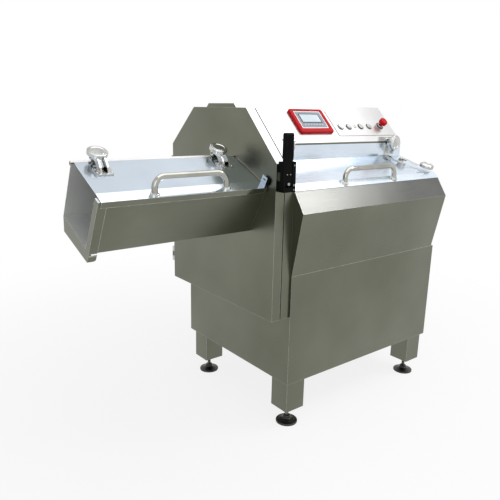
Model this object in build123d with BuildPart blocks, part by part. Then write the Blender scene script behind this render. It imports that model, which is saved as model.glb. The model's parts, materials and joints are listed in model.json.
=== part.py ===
from build123d import *
import os
from math import atan2, cos, degrees, hypot, radians, sin, tan

# Portion slicer for meat, built as an assembly. Millimetres, +Z up.
# The origin lies on the floor under the middle of the machine. +X points from the outfeed
# trough towards the feed end, +Y from the operator towards the back.
# All places below are counted from the lower cabinet's front left corner on the floor.

# Lower cabinet and legs
cabinet_length = 970
cabinet_depth = 766
cabinet_bottom = 212
cabinet_top = 694
skin = 2
leg_size = 100
leg_wall = 4
leg_bottom = 80
leg_top = 640
right_leg_inset = 30
rear_leg_inset = 45
rail_size = 40
rail_wall = 3
deck_thickness = 6

# Levelling feet
pad_radius = 48
pad_height = 14
stud_radius = 8
stud_length = 120
nut_width = 26
nut_height = 13
running_gap = 0.05

# Blade housing and its door, both folded pans with the same outline
housing_front = 8
housing_rear = 770
housing_bottom = 518
housing_top = 1350
front_chamfer_z = 1148
top_front_y = 203
top_rear_y = 580
rear_chamfer_z = 1181
pan_wall = 3
back_plate = 6
housing_depth = 45
door_gap = 5
door_depth = 42
seal_width = 10
seal_gap = 0.3

# Outfeed trough, rolled towards the operator
trough_roll = 25.4
trough_wall_lean = 28.6
trough_width = 238
trough_front_top_y = 61
trough_front_top_z = 1052
trough_front_wall = 212
trough_rear_wall = 223
trough_length = 646
sheet = 2
collar_depth = 31
collar_front_leg = 27
collar_drop = 38
collar_rear_drop = 56
rear_rail = 14

# Product channel inside the machine
channel_width = 190
channel_height = 170
channel_rear_height = 115
channel_length = 790
channel_wall = 3
channel_floor_y = 172
channel_floor_z = 888
mouth_rim = 8
mouth_start = -9
mouth_end = 6

# Chamber front, lid and the sloped control cover
chamber_length = 954
bulge_reach = 52
bulge_z = 957
chamber_lip_y = 2
chamber_lip_z = 1038
lid_front_y = 27
lid_front_z = 1062
lid_rear_y = 247
lid_rear_z = 1130
panel_foot_y = 245
panel_foot_z = 1204
panel_top_y = 407
cover_top = 1368
cover_back_y = 600
cover_chamfer_z = 1205
lid_lift = 0.6
lid_side_gap = 1.5

# Blade, spindle and drive
spindle_y = 400
spindle_z = 885
blade_radius = 350
blade_small_radius = 88
blade_start = -17
blade_thickness = 6
spindle_radius = 22
flange_radius = 52
clamp_radius = 60
bolt_circle = 80
bolt_count = 6
bolt_radius = 4
bearing_radius = 40
bearing_width = 23
bearing_housing_radius = 58
bearing_housing_length = 165
tube_flange_radius = 88
belt_plane = 192
belt_width = 10
belt_pitch = 14
belt_height = 8
belt_count = 2
driven_pulley_radius = 68
drive_pulley_radius = 54
motor_z = 376
motor_start = 290
motor_length = 300
motor_radius = 95
motor_shaft_radius = 14
motor_plate_thickness = 8

# Pusher, guide rods and feed screw, in the rolled frame of the channel
rod_u = 315
lower_rod_v = 60
upper_rod_v = 190
rod_radius = 12
screw_v = 125
screw_radius = 12
carriage_start = 690
carriage_length = 90
carriage_half_width = 30
carriage_low = 35
carriage_high = 215
support_thickness = 20
right_support = 800
pusher_travel = 620
pusher_gap = 4
pusher_height = 150
pusher_thickness = 12
claw_v = 158
claw_reach = 46
claw_count = 4

# Handles, knobs and buttons
handle_radius = 11
handle_height = 58
handle_bend = 38
button_radius = 11
button_gap = 0.3
button_travel = 4
stop_cap_radius = 21
stop_travel = 6

# The frame of the part: half of the whole length and depth on each side of the origin
knuckle_radius = 9
hinge_axis_y = housing_rear + knuckle_radius + 2
reach_left = housing_depth + door_gap + door_depth + trough_length + collar_depth
reach_back = hinge_axis_y + knuckle_radius
left_face = (reach_left - cabinet_length) / 2
front_face = (bulge_reach - reach_back) / 2


def side_plane(x):
    """Plane across the machine at x: its own axes are the machine's y and z."""
    return Plane(origin=(left_face + x, front_face, 0), x_dir=(0, 1, 0), z_dir=(1, 0, 0))


def front_plane(y):
    """Plane facing the operator at y: its own axes are the machine's x and z."""
    return Plane(origin=(left_face, front_face + y, 0), x_dir=(1, 0, 0), z_dir=(0, -1, 0))


def level_plane(z):
    """Level plane at height z."""
    return Plane(origin=(left_face, front_face, z))


def rolled_plane(x, y, z, roll):
    """Plane across the machine, turned by roll about the x axis through (y, z)."""
    direction = (0, cos(radians(roll)), sin(radians(roll)))
    return Plane(origin=(left_face + x, front_face + y, z), x_dir=direction, z_dir=(1, 0, 0))


def channel_plane(x):
    """Rolled plane whose origin is the channel's inner front bottom corner."""
    return rolled_plane(x, channel_floor_y, channel_floor_z, trough_roll)


def trough_lid_plane(x):
    """Rolled plane whose origin is the top of the trough's front wall."""
    return rolled_plane(x, trough_front_top_y, trough_front_top_z, trough_roll)


def along(start, length, angle):
    """Point at a distance from start, in the direction of an angle."""
    return (start[0] + length * cos(radians(angle)), start[1] + length * sin(radians(angle)))


def folded_sheet(points, thickness, side=Side.LEFT):
    """Section of a sheet folded along points, with its thickness on one side of them."""
    with BuildLine() as fold:
        Polyline(*points)
        offset(amount=thickness, side=side, kind=Kind.INTERSECTION)
    make_face(fold.edges())


door_face = -(housing_depth + door_gap + door_depth)
door_inner = -(housing_depth + door_gap)
trough_end = door_face - trough_length
mouth_face = trough_end - collar_depth

# Corners of the trough's outside, in y and z
trough_b = (trough_front_top_y, trough_front_top_z)
trough_a = along(trough_b, trough_width, trough_roll)
trough_f = along(trough_b, trough_front_wall, trough_wall_lean - 90)
trough_e = along(trough_a, trough_rear_wall, trough_wall_lean - 90)

housing_outline = [
    (housing_front, housing_bottom),
    (housing_front, front_chamfer_z),
    (top_front_y, housing_top),
    (top_rear_y, housing_top),
    (housing_rear, rear_chamfer_z),
    (housing_rear, housing_bottom),
]

# Frame: square legs tapped for the levelling studs, two rings of rails and the motor's plate
leg_low_x = skin + leg_size / 2
leg_high_x = cabinet_length - right_leg_inset - leg_size / 2
leg_low_y = skin + leg_size / 2
leg_high_y = cabinet_depth - rear_leg_inset - leg_size / 2
leg_places = {
    "front_left": (leg_low_x, leg_low_y),
    "front_right": (leg_high_x, leg_low_y),
    "rear_left": (leg_low_x, leg_high_y),
    "rear_right": (leg_high_x, leg_high_y),
}
foot_plate = 8
rail_low_level = cabinet_bottom + 4
rail_span_x = leg_high_x - leg_low_x - leg_size
rail_span_y = leg_high_y - leg_low_y - leg_size
motor_base = rail_low_level + rail_size + motor_plate_thickness
motor_plate_length = 320
motor_plate_shift = 125
with BuildPart() as machine_frame:
    with BuildSketch(level_plane(leg_bottom)):
        with Locations(*leg_places.values()):
            Rectangle(leg_size, leg_size)
            Rectangle(leg_size - 2 * leg_wall, leg_size - 2 * leg_wall, mode=Mode.SUBTRACT)
    extrude(amount=leg_top - leg_bottom)
    with BuildSketch(level_plane(leg_bottom)):
        with Locations(*leg_places.values()):
            Rectangle(leg_size - leg_wall, leg_size - leg_wall)
            Circle(stud_radius + running_gap, mode=Mode.SUBTRACT)
    extrude(amount=foot_plate)
    rail_hollow = rail_size - 2 * rail_wall
    for level in (rail_low_level + rail_size / 2, leg_top - rail_size / 2):
        for rail_y in (leg_low_y - leg_size / 2 + rail_size / 2, leg_high_y):
            with BuildSketch(side_plane(leg_low_x + leg_size / 2)):
                with Locations((rail_y, level)):
                    Rectangle(rail_size, rail_size)
                    Rectangle(rail_hollow, rail_hollow, mode=Mode.SUBTRACT)
            extrude(amount=rail_span_x)
        for rail_x in (leg_low_x - leg_size / 2 + rail_size / 2, leg_high_x):
            with BuildSketch(front_plane(leg_low_y + leg_size / 2)):
                with Locations((rail_x, level)):
                    Rectangle(rail_size, rail_size)
                    Rectangle(rail_hollow, rail_hollow, mode=Mode.SUBTRACT)
            extrude(amount=-rail_span_y)
    with BuildSketch(level_plane(motor_base - motor_plate_thickness)):
        with Locations((motor_start + motor_plate_shift, (leg_low_y + leg_high_y) / 2)):
            Rectangle(motor_plate_length, leg_high_y - leg_low_y + leg_size / 2)
    extrude(amount=motor_plate_thickness)
machine_frame.part.label = "machine_frame"

# Levelling feet: a turned pad with its stud, and a lock nut against the leg
pad_edge_height = pad_height / 2
pad_shoulder = 6
crown_radius = 22
crown_height = pad_height + 4
collar_radius = 16
collar_top = pad_height + 18
feet = {}
for place, (foot_x, foot_y) in leg_places.items():
    with BuildPart() as foot:
        foot_section = Plane(
            origin=(left_face + foot_x, front_face + foot_y, 0), x_dir=(1, 0, 0), z_dir=(0, -1, 0)
        )
        with BuildSketch(foot_section):
            with BuildLine():
                Polyline(
                    (0, 0), (pad_radius, 0), (pad_radius, pad_edge_height),
                    (pad_radius - pad_shoulder, pad_height), (crown_radius, crown_height),
                    (collar_radius, collar_top), (stud_radius, collar_top),
                    (stud_radius, stud_length), (0, stud_length),
                    close=True,
                )
            make_face()
        revolve(axis=Axis((left_face + foot_x, front_face + foot_y, 0), (0, 0, 1)))
    foot.part.label = "levelling_foot_" + place
    feet[place] = foot
with BuildPart() as foot_lock_nuts:
    with BuildSketch(level_plane(leg_bottom - nut_height)):
        with Locations(*leg_places.values()):
            RegularPolygon(nut_width / 2, 6, major_radius=False)
            Circle(stud_radius + running_gap, mode=Mode.SUBTRACT)
    extrude(amount=nut_height)
foot_lock_nuts.part.label = "foot_lock_nuts"

# Cabinet skin: one folded sheet for the front, the sides and the bottom, open for the legs
leg_clearance = 1
with BuildPart() as cabinet_skin:
    with BuildSketch(level_plane(cabinet_bottom)):
        with Locations((cabinet_length / 2, cabinet_depth / 2)):
            Rectangle(cabinet_length, cabinet_depth)
        with Locations((cabinet_length / 2, cabinet_depth / 2 + skin / 2)):
            Rectangle(cabinet_length - 2 * skin, cabinet_depth - skin, mode=Mode.SUBTRACT)
        with Locations((cabinet_length / 2, cabinet_depth - skin / 2)):
            Rectangle(cabinet_length, skin, mode=Mode.SUBTRACT)
    extrude(amount=cabinet_top - cabinet_bottom)
    with BuildSketch(level_plane(cabinet_bottom)):
        with Locations((cabinet_length / 2, cabinet_depth / 2)):
            Rectangle(cabinet_length - 2 * skin, cabinet_depth - 2 * skin)
        with Locations(*leg_places.values()):
            Rectangle(leg_size + leg_clearance, leg_size + leg_clearance, mode=Mode.SUBTRACT)
    extrude(amount=skin)
cabinet_skin.part.label = "cabinet_skin"

vent_rows = 7
vent_columns = 3
vent_middle_z = 380
vent_spacing_x = 150
vent_spacing_z = 22
vent_length = 110
vent_height = 8
with BuildPart() as rear_panel:
    with BuildSketch(front_plane(cabinet_depth)):
        with Locations((cabinet_length / 2, (cabinet_bottom + cabinet_top) / 2)):
            Rectangle(cabinet_length, cabinet_top - cabinet_bottom)
        with Locations((cabinet_length / 2, vent_middle_z)):
            with GridLocations(vent_spacing_x, vent_spacing_z, vent_columns, vent_rows):
                SlotOverall(vent_length, vent_height, mode=Mode.SUBTRACT)
    extrude(amount=skin)
rear_panel.part.label = "rear_panel"

# Deck on the legs, slotted for the belt
belt_slot_width = 60
belt_slot_depth = 2 * driven_pulley_radius + 60
with BuildPart() as machine_deck:
    with BuildSketch(level_plane(leg_top)):
        with Locations((cabinet_length / 2, cabinet_depth / 2)):
            Rectangle(cabinet_length - 2 * skin, cabinet_depth - 2 * skin)
        with Locations((belt_plane + belt_pitch / 2 + belt_width / 2, spindle_y)):
            Rectangle(belt_slot_width, belt_slot_depth, mode=Mode.SUBTRACT)
    extrude(amount=deck_thickness)
machine_deck.part.label = "machine_deck"

# Chamber front: one folded sheet that leans out to an edge and back, with its left end closed
chamber_c = (0, cabinet_top)
chamber_b = (-bulge_reach, bulge_z)
chamber_a = (chamber_lip_y, chamber_lip_z)
chamber_f = (lid_front_y, lid_front_z)
end_wall_back = housing_front + 30
with BuildPart() as chamber_front:
    with BuildSketch(side_plane(0)):
        folded_sheet([chamber_c, chamber_b, chamber_a, chamber_f], skin, Side.RIGHT)
    extrude(amount=chamber_length)
    with BuildSketch(side_plane(0)):
        with BuildLine():
            Polyline(chamber_c, chamber_b, chamber_a, (end_wall_back, chamber_lip_z),
                     (end_wall_back, cabinet_top), close=True)
        make_face()
    extrude(amount=skin)
chamber_front.part.label = "chamber_front"

# Control cover: vertical step behind the lid, sloped panel, top, chamfer, back and right end
cover_path = [
    (lid_rear_y, lid_rear_z), (panel_foot_y, panel_foot_z), (panel_top_y, cover_top),
    (cover_back_y, cover_top), (cabinet_depth, cover_chamfer_z), (cabinet_depth, cabinet_top),
]
slope_y = panel_top_y - panel_foot_y
slope_z = cover_top - panel_foot_z
slope_length = hypot(slope_y, slope_z)
panel_normal = (0, -slope_z / slope_length, slope_y / slope_length)
panel = Plane(
    origin=(left_face, front_face + panel_foot_y, panel_foot_z), x_dir=(1, 0, 0),
    z_dir=panel_normal,
)

# Places on the sloped panel: x, and the distance up the slope
screen_place = (388, 125)
screen_frame_size = (212, 144)
screen_body_size = (184, 116)
screen_body_depth = 38
button_plate_place = (735, 117)
button_plate_size = (420, 158)
button_plate_thickness = 2
button_places = {
    "start_button": (568, 93),
    "stop_button": (626, 93),
    "feed_forward_button": (714, 95),
    "feed_back_button": (777, 95),
}
lamp_place = (671, 94)
lamp_radius = 5
stop_place = (866, 100)
stem_radius = 8

end_strip = 26
end_gap = 0.5
screen_gap = 1
cover_cut_depth = 4 * skin

# The right end plate stands just inside the folded front sheet
end_plate_front = [
    (skin + end_gap, cabinet_top), (chamber_b[0] + 2.8, bulge_z),
    (chamber_a[0] + 2.5, chamber_a[1] - 2), (chamber_f[0] + 1.6, chamber_f[1] - 3),
]
with BuildPart() as control_cover:
    with BuildSketch(side_plane(0)):
        folded_sheet(cover_path, skin, Side.RIGHT)
    extrude(amount=chamber_length - sheet)
    with BuildSketch(side_plane(0)):
        with BuildLine():
            Polyline(*cover_path, close=True)
        make_face()
        with BuildLine():
            Polyline(*housing_outline, close=True)
            offset(amount=-end_strip, kind=Kind.INTERSECTION, mode=Mode.REPLACE)
        make_face(mode=Mode.SUBTRACT)
    extrude(amount=skin)
    with BuildSketch(panel.offset(skin)):
        with Locations(screen_place):
            Rectangle(screen_body_size[0] + 2 * screen_gap, screen_body_size[1] + 2 * screen_gap)
        with Locations(*button_places.values()):
            Circle(button_radius + button_gap)
        with Locations(lamp_place):
            Circle(lamp_radius + running_gap)
        with Locations(stop_place):
            Circle(stem_radius + button_gap)
    extrude(amount=-cover_cut_depth, mode=Mode.SUBTRACT)
    with BuildSketch(side_plane(chamber_length - sheet)):
        with BuildLine():
            Polyline(
                *end_plate_front, (lid_rear_y, lid_rear_z - end_gap), *cover_path[1:], close=True,
            )
        make_face()
    extrude(amount=sheet)
control_cover.part.label = "control_cover"

# Blade housing: a pan with a thick back plate, the product mouth and the spindle's bearing tube
spindle_axis = Axis((left_face, front_face + spindle_y, spindle_z), (1, 0, 0))
spindle_section = Plane(
    origin=(left_face, front_face + spindle_y, spindle_z), x_dir=(1, 0, 0), z_dir=(0, -1, 0)
)
front_bearing = 14
flange_clearance = 4
tube_bore = spindle_radius + 4
tube_inner_radius = bearing_radius - 8
tube_flange_thickness = 12
rear_bearing = bearing_housing_length - bearing_width - 2
with BuildPart() as blade_housing:
    with BuildSketch(side_plane(-housing_depth)):
        with BuildLine():
            Polyline(*housing_outline, close=True)
        make_face()
    extrude(amount=housing_depth)
    with BuildSketch(side_plane(-housing_depth)):
        with BuildLine():
            Polyline(*housing_outline, close=True)
        make_face()
        offset(amount=-pan_wall, kind=Kind.INTERSECTION, mode=Mode.REPLACE)
    extrude(amount=housing_depth - back_plate, mode=Mode.SUBTRACT)
    with BuildSketch(channel_plane(-back_plate)):
        with Locations((channel_width / 2, channel_height / 2)):
            Rectangle(channel_width + 2 * mouth_rim, channel_height + 2 * mouth_rim)
    extrude(amount=back_plate, mode=Mode.SUBTRACT)
    with BuildSketch(side_plane(-back_plate)):
        with Locations((spindle_y, spindle_z)):
            Circle(flange_radius + flange_clearance)
    extrude(amount=back_plate, mode=Mode.SUBTRACT)
    with BuildSketch(spindle_section):
        with BuildLine():
            Polyline(
                (0, tube_bore), (0, tube_flange_radius), (tube_flange_thickness, tube_flange_radius),
                (tube_flange_thickness, bearing_housing_radius),
                (bearing_housing_length, bearing_housing_radius),
                (bearing_housing_length, bearing_radius), (rear_bearing, bearing_radius),
                (rear_bearing, tube_inner_radius),
                (front_bearing + bearing_width, tube_inner_radius),
                (front_bearing + bearing_width, bearing_radius), (front_bearing, bearing_radius),
                (front_bearing, tube_bore), close=True,
            )
        make_face()
    revolve(axis=spindle_axis)
blade_housing.part.label = "blade_housing"

# Cutting mouth: the ring that the blade shears against
with BuildPart() as cutting_mouth:
    with BuildSketch(channel_plane(mouth_start)):
        with Locations((channel_width / 2, channel_height / 2)):
            Rectangle(channel_width + 2 * mouth_rim, channel_height + 2 * mouth_rim)
            Rectangle(channel_width, channel_height, mode=Mode.SUBTRACT)
    extrude(amount=mouth_end - mouth_start)
cutting_mouth.part.label = "cutting_mouth"

# Feed channel on two brackets: a floor, a tall front wall and a lower rear wall for the arm
bracket_places = [260, 640]
bracket_low = leg_top + deck_thickness
bracket_front_inset = 20
bracket_rear_inset = 40
bracket_drop = 90
bracket_foot_width = 50
with BuildPart() as feed_channel:
    with BuildSketch(channel_plane(mouth_end)):
        folded_sheet(
            [(0, channel_height), (0, 0), (channel_width, 0), (channel_width, channel_rear_height)],
            channel_wall, Side.RIGHT,
        )
    extrude(amount=channel_length)
    for bracket_x in bracket_places:
        floor_front = along((channel_floor_y, channel_floor_z), channel_wall, trough_roll - 90)
        floor_rear = along(floor_front, channel_width, trough_roll)
        bracket_front = floor_front[0] + bracket_front_inset
        bracket_rear = floor_rear[0] - bracket_rear_inset
        with BuildSketch(side_plane(bracket_x)):
            with BuildLine():
                Polyline(
                    floor_front, floor_rear, (bracket_rear, floor_rear[1] - bracket_drop),
                    (bracket_rear, bracket_low), (bracket_front, bracket_low), close=True,
                )
            make_face()
        extrude(amount=back_plate)
        with BuildSketch(level_plane(bracket_low)):
            with Locations((bracket_x + bracket_foot_width / 2, (bracket_front + bracket_rear) / 2)):
                Rectangle(bracket_foot_width, bracket_rear - bracket_front)
        extrude(amount=back_plate)
feed_channel.part.label = "feed_channel"

# Sickle blade: the edge spirals out over three quarters of a turn, and the rest is open
spiral_turn = 270
spiral_steps = 12
spiral_start_angle = 200
spiral_growth = 0.8
spiral_end_angle = spiral_start_angle - spiral_turn
heel_turn = 30
heel_bow_turn = 14
heel_bow_reach = blade_radius * 0.52
hub_bow_angle = -115
spiral_points = []
for step in range(spiral_steps + 1):
    share = step / spiral_steps
    reach = blade_small_radius + (blade_radius - blade_small_radius) * share ** spiral_growth
    spiral_points.append(along((spindle_y, spindle_z), reach, spiral_start_angle - spiral_turn * share))
blade_heel = along((spindle_y, spindle_z), blade_small_radius, spiral_end_angle - heel_turn)
edge_land = 1
edge_bevel = 16
with BuildPart() as sickle_blade:
    with BuildSketch(side_plane(blade_start)):
        with BuildLine():
            edge = Spline(*spiral_points)
            ThreePointArc(
                edge @ 1,
                along((spindle_y, spindle_z), heel_bow_reach, spiral_end_angle - heel_bow_turn),
                blade_heel,
            )
            ThreePointArc(
                blade_heel,
                along((spindle_y, spindle_z), blade_small_radius, hub_bow_angle),
                edge @ 0,
            )
        make_face()
        with Locations((spindle_y, spindle_z)):
            Circle(spindle_radius + running_gap, mode=Mode.SUBTRACT)
            with PolarLocations(bolt_circle / 2, bolt_count):
                Circle(bolt_radius + running_gap, mode=Mode.SUBTRACT)
    extrude(amount=blade_thickness)
    ground_face = sickle_blade.faces().sort_by(Axis.X)[0]
    ground_edge = ground_face.edges().sort_by(SortBy.LENGTH)[-1]
    chamfer(ground_edge, edge_bevel, blade_thickness - edge_land, reference=ground_face)
sickle_blade.part.label = "sickle_blade"

# Spindle: shaft with the blade's flange and the driven pulley, turned from one bar
blade_end = blade_start + blade_thickness
flange_end = -1
pulley_cheek = 8
pulley_start = belt_plane - pulley_cheek
pulley_end = belt_plane + belt_pitch * (belt_count - 1) + belt_width + pulley_cheek
groove_floor_gap = 0.4
groove_mouth_gap = 1
nut_start = -38
clamp_start = -25
clamp_nut_radius = 26
spindle_nose_radius = spindle_radius - 4
spindle_tail = pulley_end + 4
bolt_hole_room = 2
bolt_end = flange_end - 3
bolt_head = 6
bolt_head_radius = 6.5


def grooved_pulley(section, axis, radius, bore):
    """Pulley with one groove for each belt, turned about its axis."""
    groove = belt_height + 1
    points = [(pulley_start, bore), (pulley_start, radius)]
    for number in range(belt_count):
        low = belt_plane + belt_pitch * number
        points += [
            (low - groove_mouth_gap, radius), (low - groove_floor_gap, radius - groove),
            (low + belt_width + groove_floor_gap, radius - groove),
            (low + belt_width + groove_mouth_gap, radius),
        ]
    points += [(pulley_end, radius), (pulley_end, bore)]
    with BuildSketch(section) as outline:
        with BuildLine():
            Polyline(*points, close=True)
        make_face()
    revolve(outline.sketch, axis=axis)


with BuildPart() as blade_spindle:
    with BuildSketch(spindle_section):
        with BuildLine():
            Polyline(
                (nut_start, 0), (nut_start, spindle_nose_radius), (clamp_start, spindle_nose_radius),
                (clamp_start, spindle_radius), (blade_end, spindle_radius),
                (blade_end, flange_radius), (flange_end, flange_radius),
                (flange_end, spindle_radius), (spindle_tail, spindle_radius),
                (spindle_tail, 0), close=True,
            )
        make_face()
    revolve(axis=spindle_axis)
    with BuildSketch(side_plane(blade_end)):
        with Locations((spindle_y, spindle_z)):
            with PolarLocations(bolt_circle / 2, bolt_count):
                Circle(bolt_radius + running_gap)
    extrude(amount=flange_end - blade_end - bolt_hole_room, mode=Mode.SUBTRACT)
    grooved_pulley(spindle_section, spindle_axis, driven_pulley_radius, spindle_radius - 1)
blade_spindle.part.label = "blade_spindle"

# Clamp disc with a hexagonal hub in front of the blade, and its bolts
with BuildPart() as blade_clamp:
    with BuildSketch(side_plane(clamp_start)):
        with Locations((spindle_y, spindle_z)):
            Circle(clamp_radius)
            Circle(spindle_radius + running_gap, mode=Mode.SUBTRACT)
            with PolarLocations(bolt_circle / 2, bolt_count):
                Circle(bolt_radius + running_gap, mode=Mode.SUBTRACT)
    extrude(amount=blade_start - clamp_start)
    with BuildSketch(side_plane(nut_start)):
        with Locations((spindle_y, spindle_z)):
            RegularPolygon(clamp_nut_radius, 6, major_radius=False)
            Circle(spindle_nose_radius + running_gap, mode=Mode.SUBTRACT)
    extrude(amount=clamp_start - nut_start)
blade_clamp.part.label = "blade_clamp"

with BuildPart() as blade_bolts:
    with BuildSketch(side_plane(clamp_start - bolt_head)):
        with Locations((spindle_y, spindle_z)):
            with PolarLocations(bolt_circle / 2, bolt_count):
                RegularPolygon(bolt_head_radius, 6, major_radius=False)
    extrude(amount=bolt_head)
    with BuildSketch(side_plane(clamp_start)):
        with Locations((spindle_y, spindle_z)):
            with PolarLocations(bolt_circle / 2, bolt_count):
                Circle(bolt_radius)
    extrude(amount=bolt_end - clamp_start)
blade_bolts.part.label = "blade_bolts"

# Ball bearings at both ends of the bearing tube
shield_depth = 1.5
race_width = 5
with BuildPart() as spindle_bearings:
    for bearing_x in (front_bearing, rear_bearing):
        with BuildSketch(side_plane(bearing_x)):
            with Locations((spindle_y, spindle_z)):
                Circle(bearing_radius - running_gap)
                Circle(spindle_radius + running_gap, mode=Mode.SUBTRACT)
        extrude(amount=bearing_width)
        for shield_x in (bearing_x, bearing_x + bearing_width):
            inward = shield_depth if shield_x == bearing_x else -shield_depth
            with BuildSketch(side_plane(shield_x)):
                with Locations((spindle_y, spindle_z)):
                    Circle(bearing_radius - race_width)
                    Circle(spindle_radius + race_width, mode=Mode.SUBTRACT)
            extrude(amount=inward, mode=Mode.SUBTRACT)
spindle_bearings.part.label = "spindle_bearings"


# Motor: finned body on two feet, its shaft with the small pulley
motor_axis = Axis((left_face, front_face + spindle_y, motor_z), (1, 0, 0))
motor_section = Plane(
    origin=(left_face, front_face + spindle_y, motor_z), x_dir=(1, 0, 0), z_dir=(0, -1, 0)
)
shaft_in_motor = 60
with BuildPart() as motor_pulley:
    grooved_pulley(motor_section, motor_axis, drive_pulley_radius, motor_shaft_radius - 1)
    with BuildSketch(side_plane(pulley_start)):
        with Locations((spindle_y, motor_z)):
            Circle(motor_shaft_radius)
    extrude(amount=motor_start + shaft_in_motor - pulley_start)
motor_pulley.part.label = "motor_pulley"

fin_count = 24
fin_reach = 16
fin_thickness = 3
fan_cover_length = 60
end_shield_length = 12
motor_foot_width = 40
motor_foot_places = [60, 190]
terminal_box_place = 120
terminal_box_size = (90, 80)
terminal_box_height = 45
fan_cover_start = motor_start + motor_length - fan_cover_length
end_shield_start = motor_start - end_shield_length
with BuildPart() as drive_motor:
    with BuildSketch(side_plane(motor_start)):
        with Locations((spindle_y, motor_z)):
            Circle(motor_radius - 10)
            with PolarLocations(motor_radius - fin_reach / 2, fin_count):
                Rectangle(fin_reach, fin_thickness)
    extrude(amount=motor_length - fan_cover_length)
    with BuildSketch(side_plane(fan_cover_start)):
        with Locations((spindle_y, motor_z)):
            Circle(motor_radius)
    extrude(amount=fan_cover_length)
    with BuildSketch(side_plane(end_shield_start)):
        with Locations((spindle_y, motor_z)):
            Circle(motor_radius - 15)
    extrude(amount=end_shield_length)
    with BuildSketch(front_plane(spindle_y + motor_radius + 5)):
        for foot_place in motor_foot_places:
            with Locations((motor_start + foot_place, (motor_base + motor_z - motor_foot_width) / 2)):
                Rectangle(motor_foot_width, motor_z - motor_base - motor_foot_width)
    extrude(amount=2 * (motor_radius + 5))
    with BuildSketch(side_plane(end_shield_start)):
        with Locations((spindle_y, motor_z)):
            Circle(motor_shaft_radius + running_gap)
    extrude(amount=end_shield_length + shaft_in_motor + 2, mode=Mode.SUBTRACT)
    with BuildSketch(level_plane(motor_z + motor_radius - 12)):
        with Locations((motor_start + terminal_box_place, spindle_y)):
            Rectangle(*terminal_box_size)
    extrude(amount=terminal_box_height)
drive_motor.part.label = "drive_motor"

belt_lift = 0.3
with BuildPart() as drive_belts:
    for number in range(belt_count):
        with BuildSketch(side_plane(belt_plane + belt_pitch * number)):
            with Locations((spindle_y, spindle_z)):
                Circle(driven_pulley_radius + belt_lift)
            with Locations((spindle_y, motor_z)):
                Circle(drive_pulley_radius + belt_lift)
            make_hull()
            offset(amount=-belt_height, mode=Mode.SUBTRACT)
        extrude(amount=belt_width)
drive_belts.part.label = "drive_belts"

# Guide rods and feed screw behind the channel
left_support_length = 25
rod_start = 2
rod_end = right_support + support_thickness
coupling_length = 24
coupling_radius = screw_radius + 8
coupling_start = rod_end + 2
servo_start = coupling_start + coupling_length + 2
servo_size = 84
servo_frame_wall = 6
servo_flange = 8
servo_length = 86
servo_body_size = servo_size - 8
right_foot = [(390, bracket_low), (570, bracket_low), (465, 1066), (416, 1044)]
with BuildPart() as rod_supports:
    with BuildSketch(channel_plane(0)):
        with Locations((rod_u, (carriage_low + carriage_high) / 2)):
            Rectangle(2 * carriage_half_width, carriage_high - carriage_low)
        with Locations((rod_u, lower_rod_v), (rod_u, upper_rod_v)):
            Circle(rod_radius + running_gap, mode=Mode.SUBTRACT)
        with Locations((rod_u, screw_v)):
            Circle(screw_radius + running_gap, mode=Mode.SUBTRACT)
    extrude(amount=left_support_length)
    with BuildSketch(channel_plane(right_support)):
        with Locations((rod_u, (carriage_low + carriage_high) / 2)):
            Rectangle(2 * carriage_half_width, carriage_high - carriage_low)
    extrude(amount=support_thickness)
    with BuildSketch(side_plane(right_support)):
        with BuildLine():
            Polyline(*right_foot, close=True)
        make_face()
    extrude(amount=support_thickness)
    with BuildSketch(channel_plane(right_support)):
        with Locations((rod_u, lower_rod_v), (rod_u, upper_rod_v)):
            Circle(rod_radius + running_gap)
        with Locations((rod_u, screw_v)):
            Circle(screw_radius + running_gap)
    extrude(amount=support_thickness, mode=Mode.SUBTRACT)
    with BuildSketch(channel_plane(rod_end)):
        with Locations((rod_u, screw_v)):
            Rectangle(servo_size, servo_size)
            Rectangle(*2 * [servo_size - 2 * servo_frame_wall], mode=Mode.SUBTRACT)
    extrude(amount=servo_start - rod_end)
rod_supports.part.label = "rod_supports"

with BuildPart() as guide_rods:
    with BuildSketch(channel_plane(rod_start)):
        with Locations((rod_u, lower_rod_v), (rod_u, upper_rod_v)):
            Circle(rod_radius)
    extrude(amount=rod_end - rod_start)
guide_rods.part.label = "guide_rods"

with BuildPart() as feed_screw:
    with BuildSketch(channel_plane(rod_start)):
        with Locations((rod_u, screw_v)):
            Circle(screw_radius)
    extrude(amount=coupling_start - rod_start)
    with BuildSketch(channel_plane(coupling_start)):
        with Locations((rod_u, screw_v)):
            Circle(coupling_radius)
    extrude(amount=coupling_length)
feed_screw.part.label = "feed_screw"

with BuildPart() as feed_servo:
    with BuildSketch(channel_plane(servo_start)):
        with Locations((rod_u, screw_v)):
            RectangleRounded(servo_size, servo_size, 6)
    extrude(amount=servo_flange)
    with BuildSketch(channel_plane(servo_start + servo_flange)):
        with Locations((rod_u, screw_v)):
            RectangleRounded(servo_body_size, servo_body_size, 10)
    extrude(amount=servo_length)
feed_servo.part.label = "feed_servo"

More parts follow.
